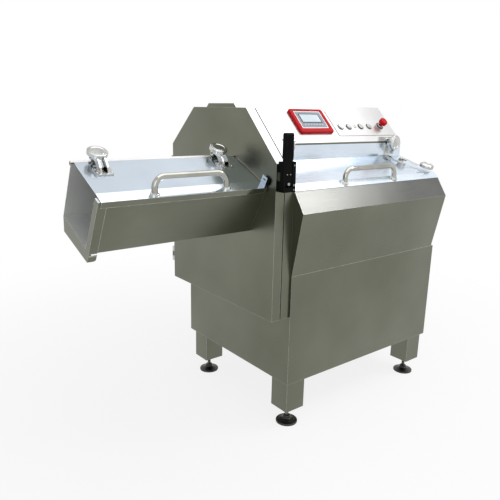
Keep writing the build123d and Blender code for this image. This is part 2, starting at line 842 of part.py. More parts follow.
# Carriage with the arm that reaches over the rear wall, and the pusher plate
arm_low = channel_rear_height + 13
arm_thickness = 18
arm_width = 60
arm_tip = 60
carriage_edge = rod_u - carriage_half_width
with BuildPart() as pusher_carriage:
    with BuildSketch(channel_plane(carriage_start)):
        with Locations((rod_u, (carriage_low + carriage_high) / 2)):
            Rectangle(2 * carriage_half_width, carriage_high - carriage_low)
        with Locations((rod_u, lower_rod_v), (rod_u, upper_rod_v)):
            Circle(rod_radius + running_gap, mode=Mode.SUBTRACT)
        with Locations((rod_u, screw_v)):
            Circle(screw_radius + running_gap, mode=Mode.SUBTRACT)
    extrude(amount=carriage_length)
    with BuildSketch(channel_plane(carriage_start + pusher_thickness)):
        with BuildLine():
            Polyline(
                (arm_tip, arm_low), (carriage_edge, arm_low),
                (carriage_edge, arm_low + arm_thickness), (arm_tip, arm_low + arm_thickness),
                close=True,
            )
        make_face()
    extrude(amount=arm_width)
pusher_carriage.part.label = "pusher_carriage"

claw_axis_x = carriage_start + pusher_thickness / 2


def claw_plane(u):
    """Plane across the claws' axis at u: its own axes point to the blade and up the channel."""
    origin = channel_plane(claw_axis_x).from_local_coords(Vector(u, claw_v, 0))
    across = (0, cos(radians(trough_roll)), sin(radians(trough_roll)))
    return Plane(origin=origin, x_dir=(-1, 0, 0), z_dir=across)


lug_width = 12
lug_inset = 30
lug_height = 26
lug_drop = 3
claw_bar_radius = 4
lug_places = [lug_inset, channel_width - lug_inset]
with BuildPart() as pusher_plate:
    with BuildSketch(channel_plane(carriage_start)):
        with Locations((channel_width / 2, (pusher_gap + pusher_height) / 2)):
            RectangleRounded(channel_width - 2 * pusher_gap, pusher_height - pusher_gap, 6)
        for lug_u in lug_places:
            with Locations((lug_u, claw_v - lug_drop)):
                Rectangle(lug_width, lug_height)
    extrude(amount=pusher_thickness)
    with BuildSketch(claw_plane(lug_inset - lug_width)):
        Circle(claw_bar_radius + running_gap)
    extrude(amount=channel_width - 2 * lug_inset + 2 * lug_width, mode=Mode.SUBTRACT)
pusher_plate.part.label = "pusher_plate"

# Gripper claws: hooked tines on a bar that turns in the pusher plate's lugs
claw_thickness = 5
with BuildPart() as gripper_claws:
    with BuildSketch(claw_plane(lug_inset - lug_width)):
        Circle(claw_bar_radius)
    extrude(amount=channel_width - 2 * lug_inset + 2 * lug_width)
    for number in range(claw_count):
        claw_u = lug_inset + (number + 0.5) * (channel_width - 2 * lug_inset) / claw_count
        with BuildSketch(claw_plane(claw_u - claw_thickness / 2)):
            with BuildLine():
                ThreePointArc((-3, 6), (claw_reach * 0.6, 4), (claw_reach, -14))
                ThreePointArc((claw_reach, -14), (claw_reach * 0.5, -3), (3, -5))
                Line((3, -5), (-3, 6))
            make_face()
        extrude(amount=claw_thickness)
gripper_claws.part.label = "gripper_claws"

# Door: the outer pan of the blade housing, open where the slices leave, with a bar beside the
# trough lid, the middle knuckles of two hinges and a keeper for the latch
hinge_axis_x = door_face + 6
door_hinge_heights = [600, 1050]
door_hinge_axis = (hinge_axis_x, hinge_axis_y)
knuckle_length = 24
knuckle_gap = 0.3
leaf_thickness = 3
pin_radius = 4
lid_bar_height = 8
lid_bar_inset = 13
keeper_gap = 4
keeper_low = 1085
keeper_high = 1115
keeper_reach = 11
keeper_width = 28
floor_angle = degrees(atan2(trough_e[1] - trough_f[1], trough_e[0] - trough_f[0]))


def meet(first, first_angle, second, second_angle):
    """Point where two lines cross, each given by a point and an angle."""
    first_way = (cos(radians(first_angle)), sin(radians(first_angle)))
    second_way = (cos(radians(second_angle)), sin(radians(second_angle)))
    cross = first_way[0] * second_way[1] - first_way[1] * second_way[0]
    gap_y = second[0] - first[0]
    gap_z = second[1] - first[1]
    reach = (gap_y * second_way[1] - gap_z * second_way[0]) / cross
    return (first[0] + reach * first_way[0], first[1] + reach * first_way[1])


def trough_corners(front_inset, floor_inset, rear_inset, top_inset=0):
    """Corners of the trough's section, moved inwards: front top, front floor, rear floor, rear top."""
    front = along(trough_b, front_inset, trough_roll)
    rear = along(trough_a, -rear_inset, trough_roll)
    floor_point = along(trough_f, floor_inset, floor_angle + 90)
    wall_angle = trough_wall_lean - 90
    top_point = along(trough_b, -top_inset, trough_roll + 90)
    return [
        meet(front, wall_angle, top_point, trough_roll),
        meet(front, wall_angle, floor_point, floor_angle),
        meet(rear, wall_angle, floor_point, floor_angle),
        meet(rear, wall_angle, top_point, trough_roll),
    ]


with BuildPart() as blade_door:
    with BuildSketch(side_plane(door_face)):
        with BuildLine():
            Polyline(*housing_outline, close=True)
        make_face()
    extrude(amount=door_depth)
    with BuildSketch(side_plane(door_face + pan_wall)):
        with BuildLine():
            Polyline(*housing_outline, close=True)
        make_face()
        offset(amount=-pan_wall, kind=Kind.INTERSECTION, mode=Mode.REPLACE)
    extrude(amount=door_depth, mode=Mode.SUBTRACT)
    with BuildSketch(side_plane(door_face)):
        with BuildLine():
            Polyline(*trough_corners(sheet, sheet, sheet, 8), close=True)
        make_face()
    extrude(amount=pan_wall, mode=Mode.SUBTRACT)
    with BuildSketch(trough_lid_plane(door_face - lid_bar_height)):
        with Locations((trough_width / 2, lid_bar_height / 2)):
            Rectangle(trough_width - 2 * lid_bar_inset, lid_bar_height)
    extrude(amount=lid_bar_height)
    for base_z in door_hinge_heights:
        with BuildSketch(level_plane(base_z + knuckle_length)):
            with Locations(door_hinge_axis):
                Circle(knuckle_radius)
            with Locations(((door_face + door_inner) / 2, housing_rear + leaf_thickness / 2)):
                Rectangle(door_depth - 4, leaf_thickness)
            with Locations(door_hinge_axis):
                Circle(pin_radius + running_gap, mode=Mode.SUBTRACT)
        extrude(amount=knuckle_length - knuckle_gap)
    with BuildSketch(front_plane(housing_front)):
        with Locations((door_inner - keeper_gap - keeper_width / 2, (keeper_low + keeper_high) / 2)):
            Rectangle(keeper_width, keeper_high - keeper_low)
    extrude(amount=keeper_reach)
blade_door.part.label = "blade_door"

with BuildPart() as door_seal:
    with BuildSketch(side_plane(door_inner)):
        with BuildLine():
            Polyline(*housing_outline, close=True)
        make_face()
        offset(amount=-1, kind=Kind.INTERSECTION, mode=Mode.REPLACE)
        offset(amount=-seal_width, kind=Kind.INTERSECTION, mode=Mode.SUBTRACT)
    extrude(amount=door_gap - seal_gap)
door_seal.part.label = "door_seal"

# Outfeed trough: a U of sheet, with a deep collar round its mouth and a rail along its back
with BuildPart() as outfeed_trough:
    with BuildSketch(side_plane(trough_end)):
        with BuildLine():
            Polyline(trough_b, trough_f, trough_e, trough_a, close=True)
        make_face()
        with BuildLine():
            Polyline(*trough_corners(sheet, sheet, sheet, -2), close=True)
        make_face(mode=Mode.SUBTRACT)
    extrude(amount=trough_length)
outfeed_trough.part.label = "outfeed_trough"

collar_c = along(trough_b, trough_front_wall + collar_drop, trough_wall_lean - 90)
collar_d = (trough_e[0] + 2, trough_e[1] - collar_rear_drop)
collar_low_z = min(collar_c[1], collar_d[1])
collar_wall = 3
collar_rounding = 9
with BuildPart() as mouth_collar:
    with BuildSketch(side_plane(mouth_face)):
        with BuildLine():
            Polyline(trough_b, collar_c, collar_d, trough_e, trough_a, close=True)
        make_face()
        with BuildLine():
            Polyline(*trough_corners(collar_front_leg, sheet, sheet, -2), close=True)
        make_face(mode=Mode.SUBTRACT)
    extrude(amount=collar_depth)
    lower_edges = mouth_collar.edges().filter_by(lambda edge: edge.center().Z < collar_low_z + 60)
    fillet(lower_edges.filter_by(GeomType.LINE).group_by(Axis.X)[-1].sort_by(Axis.Z)[0], collar_rounding)
    with BuildSketch(side_plane(mouth_face + collar_wall)):
        with BuildLine():
            Polyline(
                along(trough_f, collar_wall, floor_angle - 90),
                along(collar_c, collar_wall, 90), along(collar_d, collar_wall, 135),
                along(trough_e, collar_wall, floor_angle - 90), close=True,
            )
        make_face()
    extrude(amount=collar_depth, mode=Mode.SUBTRACT)
mouth_collar.part.label = "mouth_collar"


def trough_lid_point(u, v):
    """Machine y and z of a point in the trough lid's rolled frame."""
    return along(along(trough_b, u, trough_roll), v, trough_roll + 90)


# Rail along the trough's back edge, with a lug and a pin for each hinge of the lid
rail_low = -10
rail_high = 4
rail_slant = rail_low * tan(radians(trough_wall_lean - trough_roll))
hinge_u = trough_width + 8
hinge_v = 17
hinge_places = [-684, -186]
lug_half = 9
ear_inner = 9.5
ear_thickness = 7
pin_proud = 3
with BuildPart() as trough_rail:
    with BuildSketch(trough_lid_plane(mouth_face)):
        with BuildLine():
            Polyline(
                (trough_width - rail_slant, rail_low), (trough_width + rear_rail, rail_low),
                (trough_width + rear_rail, rail_high), (trough_width, rail_high),
                (trough_width, 0), close=True,
            )
        make_face()
    extrude(amount=door_face - mouth_face)
    for hinge_x in hinge_places:
        with BuildSketch(trough_lid_plane(hinge_x - lug_half)):
            with Locations((hinge_u, hinge_v)):
                Circle(lug_half)
            with BuildLine():
                Polyline(
                    (trough_width, rail_high), (trough_width + rear_rail, rail_high),
                    (hinge_u + lug_half, hinge_v), (hinge_u - lug_half, hinge_v), close=True,
                )
            make_face()
        extrude(amount=2 * lug_half)
        pin_half = ear_inner + ear_thickness + pin_proud
        with BuildSketch(trough_lid_plane(hinge_x - pin_half)):
            with Locations((hinge_u, hinge_v)):
                Circle(pin_radius)
        extrude(amount=2 * pin_half)
trough_rail.part.label = "trough_rail"

# Trough lid: front flange, a strip that carries the handle, the main plate, and the upright
# target plate of the interlock
flange_drop = -20
lid_front_u = -3
strip_start_v = 2.5
strip_end_u = 43
plate_v = 6
lid_rear_u = trough_width - 4
trough_lid_start = mouth_face + 9
trough_lid_end = door_face - 10
target_low = 2
target_top = 42
target_end = 32
with BuildPart() as trough_lid:
    with BuildSketch(trough_lid_plane(trough_lid_start)):
        folded_sheet(
            [(lid_front_u, flange_drop), (lid_front_u, strip_start_v), (strip_end_u, plate_v),
             (lid_rear_u, plate_v)],
            sheet, Side.RIGHT,
        )
    extrude(amount=trough_lid_end - trough_lid_start)
    with BuildSketch(trough_lid_plane(trough_lid_end - sheet)):
        with BuildLine():
            Polyline(
                (2, target_low), (target_end, target_low + 2), (target_end, target_top),
                (2, target_top), close=True,
            )
        make_face()
        with Locations((target_end / 2, 0.7 * target_top)):
            SlotOverall(16, 5, mode=Mode.SUBTRACT)
    extrude(amount=sheet)
trough_lid.part.label = "trough_lid"


def slope_plane(y, z, angle):
    """Plane on a surface that rises towards the back by an angle, facing outwards."""
    normal = (0, -sin(radians(angle)), cos(radians(angle)))
    return Plane(origin=(left_face, front_face + y, z), x_dir=(1, 0, 0), z_dir=normal)


foot_disc_radius = 16
foot_disc_height = 4
trough_handle_span = (-566, -274)
trough_handle_reach = 19
chamber_handle_span = (295, 620)
chamber_handle_reach = 18


def bow_handle(first_x, last_x, reach, surface):
    """Upright bow of round tube on two discs, a given way up a sloped surface."""
    base = surface.from_local_coords(Vector(0, reach, 0))
    upright = Plane(origin=base, x_dir=(1, 0, 0), z_dir=(0, -1, 0))
    with BuildLine(upright) as centre:
        FilletPolyline(
            (first_x, -handle_radius), (first_x, handle_height), (last_x, handle_height),
            (last_x, -handle_radius), radius=handle_bend,
        )
    with BuildSketch(Plane(origin=centre.line @ 0, z_dir=centre.line % 0)) as tube:
        Circle(handle_radius)
    sweep(tube.sketch, path=centre.line)
    with BuildSketch(surface) as discs:
        with Locations((first_x, reach), (last_x, reach)):
            Circle(foot_disc_radius)
    extrude(discs.sketch, amount=foot_disc_height)
    split(bisect_by=surface, keep=Keep.TOP)


trough_strip_angle = trough_roll + degrees(atan2(plate_v - strip_start_v, strip_end_u - lid_front_u))
trough_strip = slope_plane(*trough_lid_point(lid_front_u, strip_start_v), trough_strip_angle)
trough_plate = slope_plane(*trough_lid_point(0, plate_v), trough_roll)
with BuildPart() as trough_lid_handle:
    bow_handle(*trough_handle_span, trough_handle_reach, trough_strip)
trough_lid_handle.part.label = "trough_lid_handle"

# Hinges of the trough lid: two arched ears on the lid under a round cap
cap_radius = 36
cap_u = hinge_u - 14
cap_low = 34
cap_height = 16
cap_rounding = 3
ear_base_front = hinge_u - 96
ear_base_rear = hinge_u - 60
base_plate_height = 4
with BuildPart() as trough_lid_hinges:
    for hinge_x in hinge_places:
        with BuildSketch(trough_plate):
            with Locations((hinge_x, (ear_base_front + ear_base_rear) / 2)):
                RectangleRounded(62, ear_base_rear - ear_base_front + 14, 5)
        extrude(amount=base_plate_height)
        for ear_x in (hinge_x - ear_inner - ear_thickness, hinge_x + ear_inner):
            with BuildSketch(trough_lid_plane(ear_x)):
                with BuildLine():
                    Line((ear_base_front, plate_v + 2), (ear_base_rear, plate_v + 2))
                    ThreePointArc(
                        (ear_base_rear, plate_v + 2), (hinge_u - 38, 22), (hinge_u - 10, hinge_v + 3)
                    )
                    ThreePointArc(
                        (hinge_u - 10, hinge_v + 3), (hinge_u + 2, hinge_v - 10),
                        (hinge_u + 10, hinge_v),
                    )
                    Line((hinge_u + 10, hinge_v), (hinge_u + 4, cap_low + 4))
                    Line((hinge_u + 4, cap_low + 4), (hinge_u - 32, cap_low + 10))
                    ThreePointArc(
                        (hinge_u - 32, cap_low + 10), (hinge_u - 74, 30),
                        (ear_base_front, plate_v + 2),
                    )
                make_face()
                with Locations((hinge_u, hinge_v)):
                    Circle(pin_radius + running_gap, mode=Mode.SUBTRACT)
            extrude(amount=ear_thickness)
        cap_plane = slope_plane(*trough_lid_point(0, cap_low), trough_roll)
        with BuildSketch(cap_plane):
            with Locations((hinge_x, cap_u)):
                Circle(cap_radius)
        extrude(amount=cap_height)
    rims = trough_lid_hinges.edges().filter_by(GeomType.CIRCLE)
    fillet(rims.filter_by(lambda edge: abs(edge.radius - cap_radius) < 0.1), cap_rounding)
trough_lid_hinges.part.label = "trough_lid_hinges"

# Switch on the door, beside the plate on the lid's front right corner
switch_place = (8, 26)
switch_size = (30, 26)
switch_height = 9
with BuildPart() as lid_switch:
    with BuildSketch(trough_lid_plane(door_face - switch_height)):
        with Locations(switch_place):
            RectangleRounded(*switch_size, 2)
    extrude(amount=switch_height)
lid_switch.part.label = "lid_switch"

# Fixed leaves and pins of the door's hinges, at the housing's back edge
leaf_gap = 0.5
leaf_y = housing_rear + leaf_gap + leaf_thickness / 2
with BuildPart() as door_hinge_leaves:
    for base_z in door_hinge_heights:
        for level in (base_z, base_z + 2 * knuckle_length):
            with BuildSketch(level_plane(level)):
                with Locations(door_hinge_axis):
                    Circle(knuckle_radius)
                with Locations(((hinge_axis_x - 6) / 2, leaf_y)):
                    Rectangle(-hinge_axis_x - 6, leaf_thickness)
                with Locations((-housing_depth / 2 - 3, housing_rear + leaf_gap / 2)):
                    Rectangle(housing_depth - 8, leaf_gap)
            extrude(amount=knuckle_length - knuckle_gap)
        with BuildSketch(level_plane(base_z - 1)):
            with Locations(door_hinge_axis):
                Circle(pin_radius)
        extrude(amount=3 * knuckle_length + 2)
door_hinge_leaves.part.label = "door_hinge_leaves"

# Door latch: a block with its pin on the fixed pan, and a lever that pulls forwards
latch_left = -84
latch_right = -25
latch_low = 1043
latch_high = 1157
latch_front = -27
lever_left = -77
lever_right = -42
lever_gap = 0.6
lever_front = -26
lever_back = -9
lever_pivot = ((lever_front + lever_back) / 2, 1074)
grip_top = 1262
grip_rounding = 3
grip_shoulder = 18
slot_below_pivot = 13
pocket_front = -4
pocket_margin = 4
door_clearance = 1.5
with BuildPart() as latch_block:
    with BuildSketch(side_plane(latch_left)):
        with BuildLine():
            Polyline(
                (housing_front, latch_low), (latch_front, latch_low), (latch_front, latch_high),
                (housing_front, latch_high), close=True,
            )
        make_face()
    extrude(amount=latch_right - latch_left)
    with BuildSketch(side_plane(latch_left)):
        with Locations((housing_front, (latch_low + latch_high) / 2)):
            Rectangle(2 * door_clearance, latch_high - latch_low)
    extrude(amount=-housing_depth - latch_left, mode=Mode.SUBTRACT)
    with BuildSketch(side_plane(lever_left - lever_gap)):
        with BuildLine():
            Polyline(
                (latch_front, latch_high), (lever_back + 1, latch_high),
                (lever_back + 1, lever_pivot[1] - slot_below_pivot),
                (latch_front, lever_pivot[1] - slot_below_pivot), close=True,
            )
        make_face()
    extrude(amount=lever_right - lever_left + 2 * lever_gap, mode=Mode.SUBTRACT)
    with BuildSketch(side_plane(latch_left)):
        with BuildLine():
            Polyline(
                (pocket_front, keeper_low - pocket_margin), (housing_front, keeper_low - pocket_margin),
                (housing_front, keeper_high + pocket_margin),
                (pocket_front, keeper_high + pocket_margin), close=True,
            )
        make_face()
    extrude(amount=-housing_depth - latch_left - 2, mode=Mode.SUBTRACT)
    with BuildSketch(side_plane(latch_left)):
        with Locations(lever_pivot):
            Circle(pin_radius)
    extrude(amount=latch_right - latch_left)
latch_block.part.label = "latch_block"

with BuildPart() as latch_lever:
    with BuildSketch(side_plane(lever_left)):
        with BuildLine():
            Polyline(
                (lever_front, lever_pivot[1]), (lever_front, latch_high + 2),
                (-30, latch_high + grip_shoulder), (-28, grip_top - 6), (-24, grip_top),
                (-10, grip_top), (-6, grip_top - 6), (-5, latch_high + grip_shoulder),
                (lever_back, latch_high + 2), (lever_back, lever_pivot[1]), close=True,
            )
        make_face()
        with Locations(lever_pivot):
            Circle((lever_back - lever_front) / 2)
        with Locations(lever_pivot):
            Circle(pin_radius + running_gap, mode=Mode.SUBTRACT)
    extrude(amount=lever_right - lever_left)
    grip_edges = latch_lever.edges().filter_by(Axis.Z).group_by(Axis.Y)[0]
    fillet(grip_edges, grip_rounding)
latch_lever.part.label = "latch_lever"

# Chamber lid: a lip along the front edge for the handle, the main plate and an upright flange
lip_angle = degrees(atan2(chamber_f[1] - chamber_a[1], chamber_f[0] - chamber_a[0]))
lid_angle = degrees(atan2(lid_rear_z - lid_front_z, lid_rear_y - lid_front_y))
lid_lip = along(chamber_a, lid_lift, lip_angle + 90)
lid_bend = meet(lid_lip, lip_angle, along(chamber_f, lid_lift, lid_angle + 90), lid_angle)
flange_back = panel_foot_y - 3
flange_front = flange_back - sheet
lid_back = meet(lid_bend, lid_angle, (flange_back, lid_rear_z), 90)
flange_top = (flange_back, panel_foot_z - 8)
lip_surface = slope_plane(*along(lid_lip, sheet, lip_angle + 90), lip_angle)
lid_surface = slope_plane(*along(chamber_f, lid_lift + sheet, lid_angle + 90), lid_angle)
with BuildPart() as chamber_lid:
    with BuildSketch(side_plane(lid_side_gap)):
        folded_sheet([lid_lip, lid_bend, lid_back, flange_top], sheet, Side.LEFT)
    extrude(amount=chamber_length - 2 * lid_side_gap)
chamber_lid.part.label = "chamber_lid"

with BuildPart() as chamber_lid_handle:
    bow_handle(*chamber_handle_span, chamber_handle_reach, lip_surface)
chamber_lid_handle.part.label = "chamber_lid_handle"

# Hinges of the chamber lid: bearing blocks at the panel's foot with a pin between them, and a
# casting on the lid's flange with a sleeve, two ears and a round cap
barrel_y = 232
barrel_z = 1214
barrel_radius = 11
barrel_pin = 5
block_width = 14
block_gap = 0.5
sleeve_half = 44
chamber_ear = 12
chamber_ear_inner = 12
chamber_cap_z = 1198
chamber_cap_back = 212
chamber_cap_height = 14
casting_base_low = 1136
casting_base_high = 1186
chamber_hinges = [140, 860]
barrel_low = barrel_z - barrel_radius
barrel_high = barrel_z + barrel_radius
step_lean = (panel_foot_y - lid_rear_y) / (panel_foot_z - lid_rear_z)
step_y = lid_rear_y + (barrel_low - lid_rear_z) * step_lean
slope_point_y = panel_foot_y + (barrel_high - panel_foot_z) * slope_y / slope_z
with BuildPart() as chamber_hinge_blocks:
    for hinge_x in chamber_hinges:
        for block_x in (hinge_x - sleeve_half - block_gap - block_width, hinge_x + sleeve_half + block_gap):
            with BuildSketch(side_plane(block_x)):
                with Locations((barrel_y, barrel_z)):
                    Circle(barrel_radius)
                with BuildLine():
                    Polyline(
                        (barrel_y, barrel_low), (step_y, barrel_low), (panel_foot_y, panel_foot_z),
                        (slope_point_y, barrel_high), (barrel_y, barrel_high), close=True,
                    )
                make_face()
            extrude(amount=block_width)
        pin_half_length = sleeve_half + block_gap + block_width + pin_proud
        with BuildSketch(side_plane(hinge_x - pin_half_length)):
            with Locations((barrel_y, barrel_z)):
                Circle(barrel_pin)
        extrude(amount=2 * pin_half_length)
chamber_hinge_blocks.part.label = "chamber_hinge_blocks"

with BuildPart() as chamber_lid_hinges:
    for hinge_x in chamber_hinges:
        with BuildSketch(front_plane(flange_front)):
            with Locations((hinge_x, (casting_base_low + casting_base_high) / 2)):
                RectangleRounded(70, casting_base_high - casting_base_low, 5)
        extrude(amount=base_plate_height)
        with BuildSketch(front_plane(chamber_cap_back)):
            with Locations((hinge_x, chamber_cap_z)):
                Circle(cap_radius)
        extrude(amount=chamber_cap_height)
        with BuildSketch(side_plane(hinge_x - sleeve_half)):
            with Locations((barrel_y, barrel_z)):
                Circle(barrel_radius)
        extrude(amount=2 * sleeve_half)
        for ear_x in (hinge_x - chamber_ear_inner - chamber_ear, hinge_x + chamber_ear_inner):
            with BuildSketch(side_plane(ear_x)):
                with BuildLine():
                    Polyline(
                        (flange_front - 2, casting_base_low + 6), (flange_front - 2, casting_base_high - 4),
                        (barrel_y, barrel_low), (barrel_y, barrel_high),
                        (chamber_cap_back - 2, chamber_cap_z + 26),
                        (chamber_cap_back - 2, chamber_cap_z - 34), close=True,
                    )
                make_face()
            extrude(amount=chamber_ear)
        with BuildSketch(side_plane(hinge_x - sleeve_half)):
            with Locations((barrel_y, barrel_z)):
                Circle(barrel_pin + running_gap)
        extrude(amount=2 * sleeve_half, mode=Mode.SUBTRACT)
    cap_rims = chamber_lid_hinges.edges().filter_by(GeomType.CIRCLE)
    cap_rims = cap_rims.filter_by(lambda edge: abs(edge.radius - cap_radius) < 0.1)
    fillet(cap_rims.group_by(Axis.Y)[0], cap_rounding)
chamber_lid_hinges.part.label = "chamber_lid_hinges"

# Lid lock: a bar across the lid's right end, and a lever with a round knob that turns on a boss
lock_pivot = (845, 132)
lock_knob = (915, 27)
boss_radius = 14
boss_height = 18
pivot_radius = 5
lock_block_place = (786, 188)
lock_block_size = (60, 22)
lock_clamp_place = (806, 92)
lock_clamp_size = (26, 24)
lock_bar_top = 17
lock_bar_width = 10
lock_length = hypot(lock_knob[0] - lock_pivot[0], lock_knob[1] - lock_pivot[1])
lock_angle = degrees(atan2(lock_knob[1] - lock_pivot[1], lock_knob[0] - lock_pivot[0]))
strap_thickness = 5
strap_width = 22
knob_radius = 34
knob_height = 16
knob_rounding = 4
strap_tail = -13
strap_gap = 0.3
strap_bend = 28
strap_straight = 68
strap_drop = 8
strap_end = lock_length + 10
with BuildPart() as lid_lock_bar:
    with BuildSketch(lid_surface):
        with Locations(lock_pivot):
            Circle(boss_radius)
    extrude(amount=boss_height)
    with BuildSketch(lid_surface):
        with Locations(lock_pivot):
            Circle(pivot_radius)
    extrude(amount=boss_height + strap_thickness + 6)
    with BuildSketch(lid_surface):
        with Locations(lock_block_place):
            Rectangle(*lock_block_size)
        with Locations(lock_clamp_place):
            RectangleRounded(*lock_clamp_size, 4)
    extrude(amount=lock_bar_top)
    with BuildSketch(lid_surface.offset(lock_bar_top - lock_bar_width)):
        with Locations((lock_clamp_place[0], (lock_block_place[1] + lock_clamp_place[1]) / 2)):
            Rectangle(lock_bar_width, lock_block_place[1] - lock_clamp_place[1])
    extrude(amount=lock_bar_width)
lid_lock_bar.part.label = "lid_lock_bar"

lever_base = lid_surface.from_local_coords(Vector(lock_pivot[0], lock_pivot[1], boss_height))
lever_way = lid_surface.x_dir * cos(radians(lock_angle)) + lid_surface.y_dir * sin(radians(lock_angle))
lever_plane = Plane(
    origin=lever_base, x_dir=lever_way, z_dir=lever_way.cross(lid_surface.z_dir)
)
with BuildPart() as lid_lock_lever:
    with BuildSketch(lever_plane.offset(-strap_width / 2)):
        with BuildLine():
            Polyline((strap_tail, strap_gap), (strap_bend, strap_gap))
            Spline(
                (strap_bend, strap_gap), (48, -strap_drop / 2), (strap_straight, -strap_drop),
                tangents=((1, 0), (1, 0)),
            )
            Line((strap_straight, -strap_drop), (strap_end, -strap_drop))
            Line((strap_end, -strap_drop), (strap_end, strap_thickness - strap_drop))
            Line((strap_end, strap_thickness - strap_drop), (strap_straight, strap_thickness - strap_drop))
            Spline(
                (strap_straight, strap_thickness - strap_drop), (48, strap_thickness - strap_drop / 2),
                (strap_bend, strap_gap + strap_thickness), tangents=((-1, 0), (-1, 0)),
            )
            Polyline(
                (strap_bend, strap_gap + strap_thickness), (strap_tail, strap_gap + strap_thickness),
                (strap_tail, strap_gap),
            )
        make_face()
    extrude(amount=strap_width)
    knob_plane = Plane(
        origin=lever_plane.from_local_coords(Vector(lock_length, strap_thickness - strap_drop, 0)),
        x_dir=lever_way, z_dir=lid_surface.z_dir,
    )
    with BuildSketch(knob_plane):
        Circle(knob_radius)
    extrude(amount=knob_height)
    knob_rims = lid_lock_lever.edges().filter_by(GeomType.CIRCLE)
    knob_rims = knob_rims.filter_by(lambda edge: abs(edge.radius - knob_radius) < 0.1)
    fillet(knob_rims.sort_by(Axis.Z)[-1], knob_rounding)
    with BuildSketch(lid_surface.offset(boss_height)):
        with Locations(lock_pivot):
            Circle(pivot_radius + running_gap)
    extrude(amount=strap_thickness + 2, mode=Mode.SUBTRACT)
lid_lock_lever.part.label = "lid_lock_lever"

# Control panel: screen unit through the cover, button plate, buttons and stop button
bezel_height = 13
bezel_rounding = 5
pocket_lift = 5
pocket_size = (172, 108)
pocket_place = (screen_place[0], screen_place[1] + pocket_lift)
pocket_depth = 6
face_gap = 0.3
face_thickness = 3
glass_size = (118, 46)
glass_lift = 9
glass_thickness = 1
with BuildPart() as screen_frame:
    with BuildSketch(panel):
        with Locations(screen_place):
            RectangleRounded(*screen_frame_size, 12)
    extrude(amount=bezel_height)
    fillet(screen_frame.faces().sort_by(Axis.Z)[-1].outer_wire().edges(), bezel_rounding)
    with BuildSketch(panel):
        with Locations(screen_place):
            Rectangle(*screen_body_size)
    extrude(amount=-screen_body_depth)
    with BuildSketch(panel.offset(bezel_height)):
        with Locations(pocket_place):
            RectangleRounded(*pocket_size, 4)
    extrude(amount=-pocket_depth, mode=Mode.SUBTRACT)
screen_frame.part.label = "screen_frame"

with BuildPart() as screen_face:
    with BuildSketch(panel.offset(bezel_height - pocket_depth)):
        with Locations(pocket_place):
            RectangleRounded(pocket_size[0] - 2 * face_gap, pocket_size[1] - 2 * face_gap, 4)
    extrude(amount=face_thickness)
screen_face.part.label = "screen_face"

with BuildPart() as screen_glass:
    with BuildSketch(panel.offset(bezel_height - pocket_depth + face_thickness)):
        with Locations((pocket_place[0], pocket_place[1] + glass_lift)):
            RectangleRounded(*glass_size, 2)
    extrude(amount=glass_thickness)
screen_glass.part.label = "screen_glass"

with BuildPart() as button_plate:
    with BuildSketch(panel):
        with Locations(button_plate_place):
            RectangleRounded(*button_plate_size, 6)
        with Locations(*button_places.values()):
            Circle(button_radius + button_gap, mode=Mode.SUBTRACT)
        with Locations(lamp_place):
            Circle(lamp_radius + running_gap, mode=Mode.SUBTRACT)
        with Locations(stop_place):
            Circle(stem_radius + button_gap, mode=Mode.SUBTRACT)
    extrude(amount=button_plate_thickness)
button_plate.part.label = "button_plate"

ring_width = 4
ring_height = 4
stop_ring_radius = 17
stop_ring_height = 9
with BuildPart() as button_rings:
    with BuildSketch(panel.offset(button_plate_thickness)):
        with Locations(*button_places.values()):
            Circle(button_radius + ring_width)
            Circle(button_radius + button_gap, mode=Mode.SUBTRACT)
    extrude(amount=ring_height)
    with BuildSketch(panel.offset(button_plate_thickness)):
        with Locations(stop_place):
            Circle(stop_ring_radius)
            Circle(stem_radius + button_gap, mode=Mode.SUBTRACT)
    extrude(amount=stop_ring_height)
button_rings.part.label = "button_rings"

cap_proud = 8.5
cap_depth = 10
button_rounding = 1
buttons = {}
for button_name, button_place in button_places.items():
    with BuildPart() as button:
        with BuildSketch(panel.offset(-cap_depth)):
            with Locations(button_place):
                Circle(button_radius)
        extrude(amount=cap_depth + cap_proud)
        fillet(button.faces().sort_by(Axis.Z)[-1].edges(), button_rounding)
    button.part.label = button_name
    buttons[button_name] = button

stop_cap_low = 19
stop_cap_high = 41
stop_cap_rounding = 5
with BuildPart() as emergency_stop:
    with BuildSketch(panel.offset(-cap_depth)):
        with Locations(stop_place):
            Circle(stem_radius)
    extrude(amount=cap_depth + stop_cap_low)
    with BuildSketch(panel.offset(stop_cap_low)):
        with Locations(stop_place):
            Circle(stop_cap_radius)
    extrude(amount=stop_cap_high - stop_cap_low)
    stop_rims = emergency_stop.edges().filter_by(GeomType.CIRCLE)
    fillet(stop_rims.filter_by(lambda edge: abs(edge.radius - stop_cap_radius) < 0.1), stop_cap_rounding)
emergency_stop.part.label = "emergency_stop"

lamp_depth = 6
lamp_proud = 4
with BuildPart() as power_lamp:
    with BuildSketch(panel.offset(-lamp_depth)):
        with Locations(lamp_place):
            Circle(lamp_radius)
    extrude(amount=lamp_depth + lamp_proud)
power_lamp.part.label = "power_lamp"

# Blanked inlet gland at the back
gland_place = (840, 260)
gland_nut_radius = 13
gland_nut_height = 7
gland_cap_radius = 11
gland_cap_height = 10
with BuildPart() as inlet_gland:
    with BuildSketch(front_plane(cabinet_depth)):
        with Locations(gland_place):
            RegularPolygon(gland_nut_radius, 6, major_radius=False)
    extrude(amount=-gland_nut_height)
    with BuildSketch(front_plane(cabinet_depth + gland_nut_height)):
        with Locations(gland_place):
            Circle(gland_cap_radius)
    extrude(amount=-gland_cap_height)
inlet_gland.part.label = "inlet_gland"

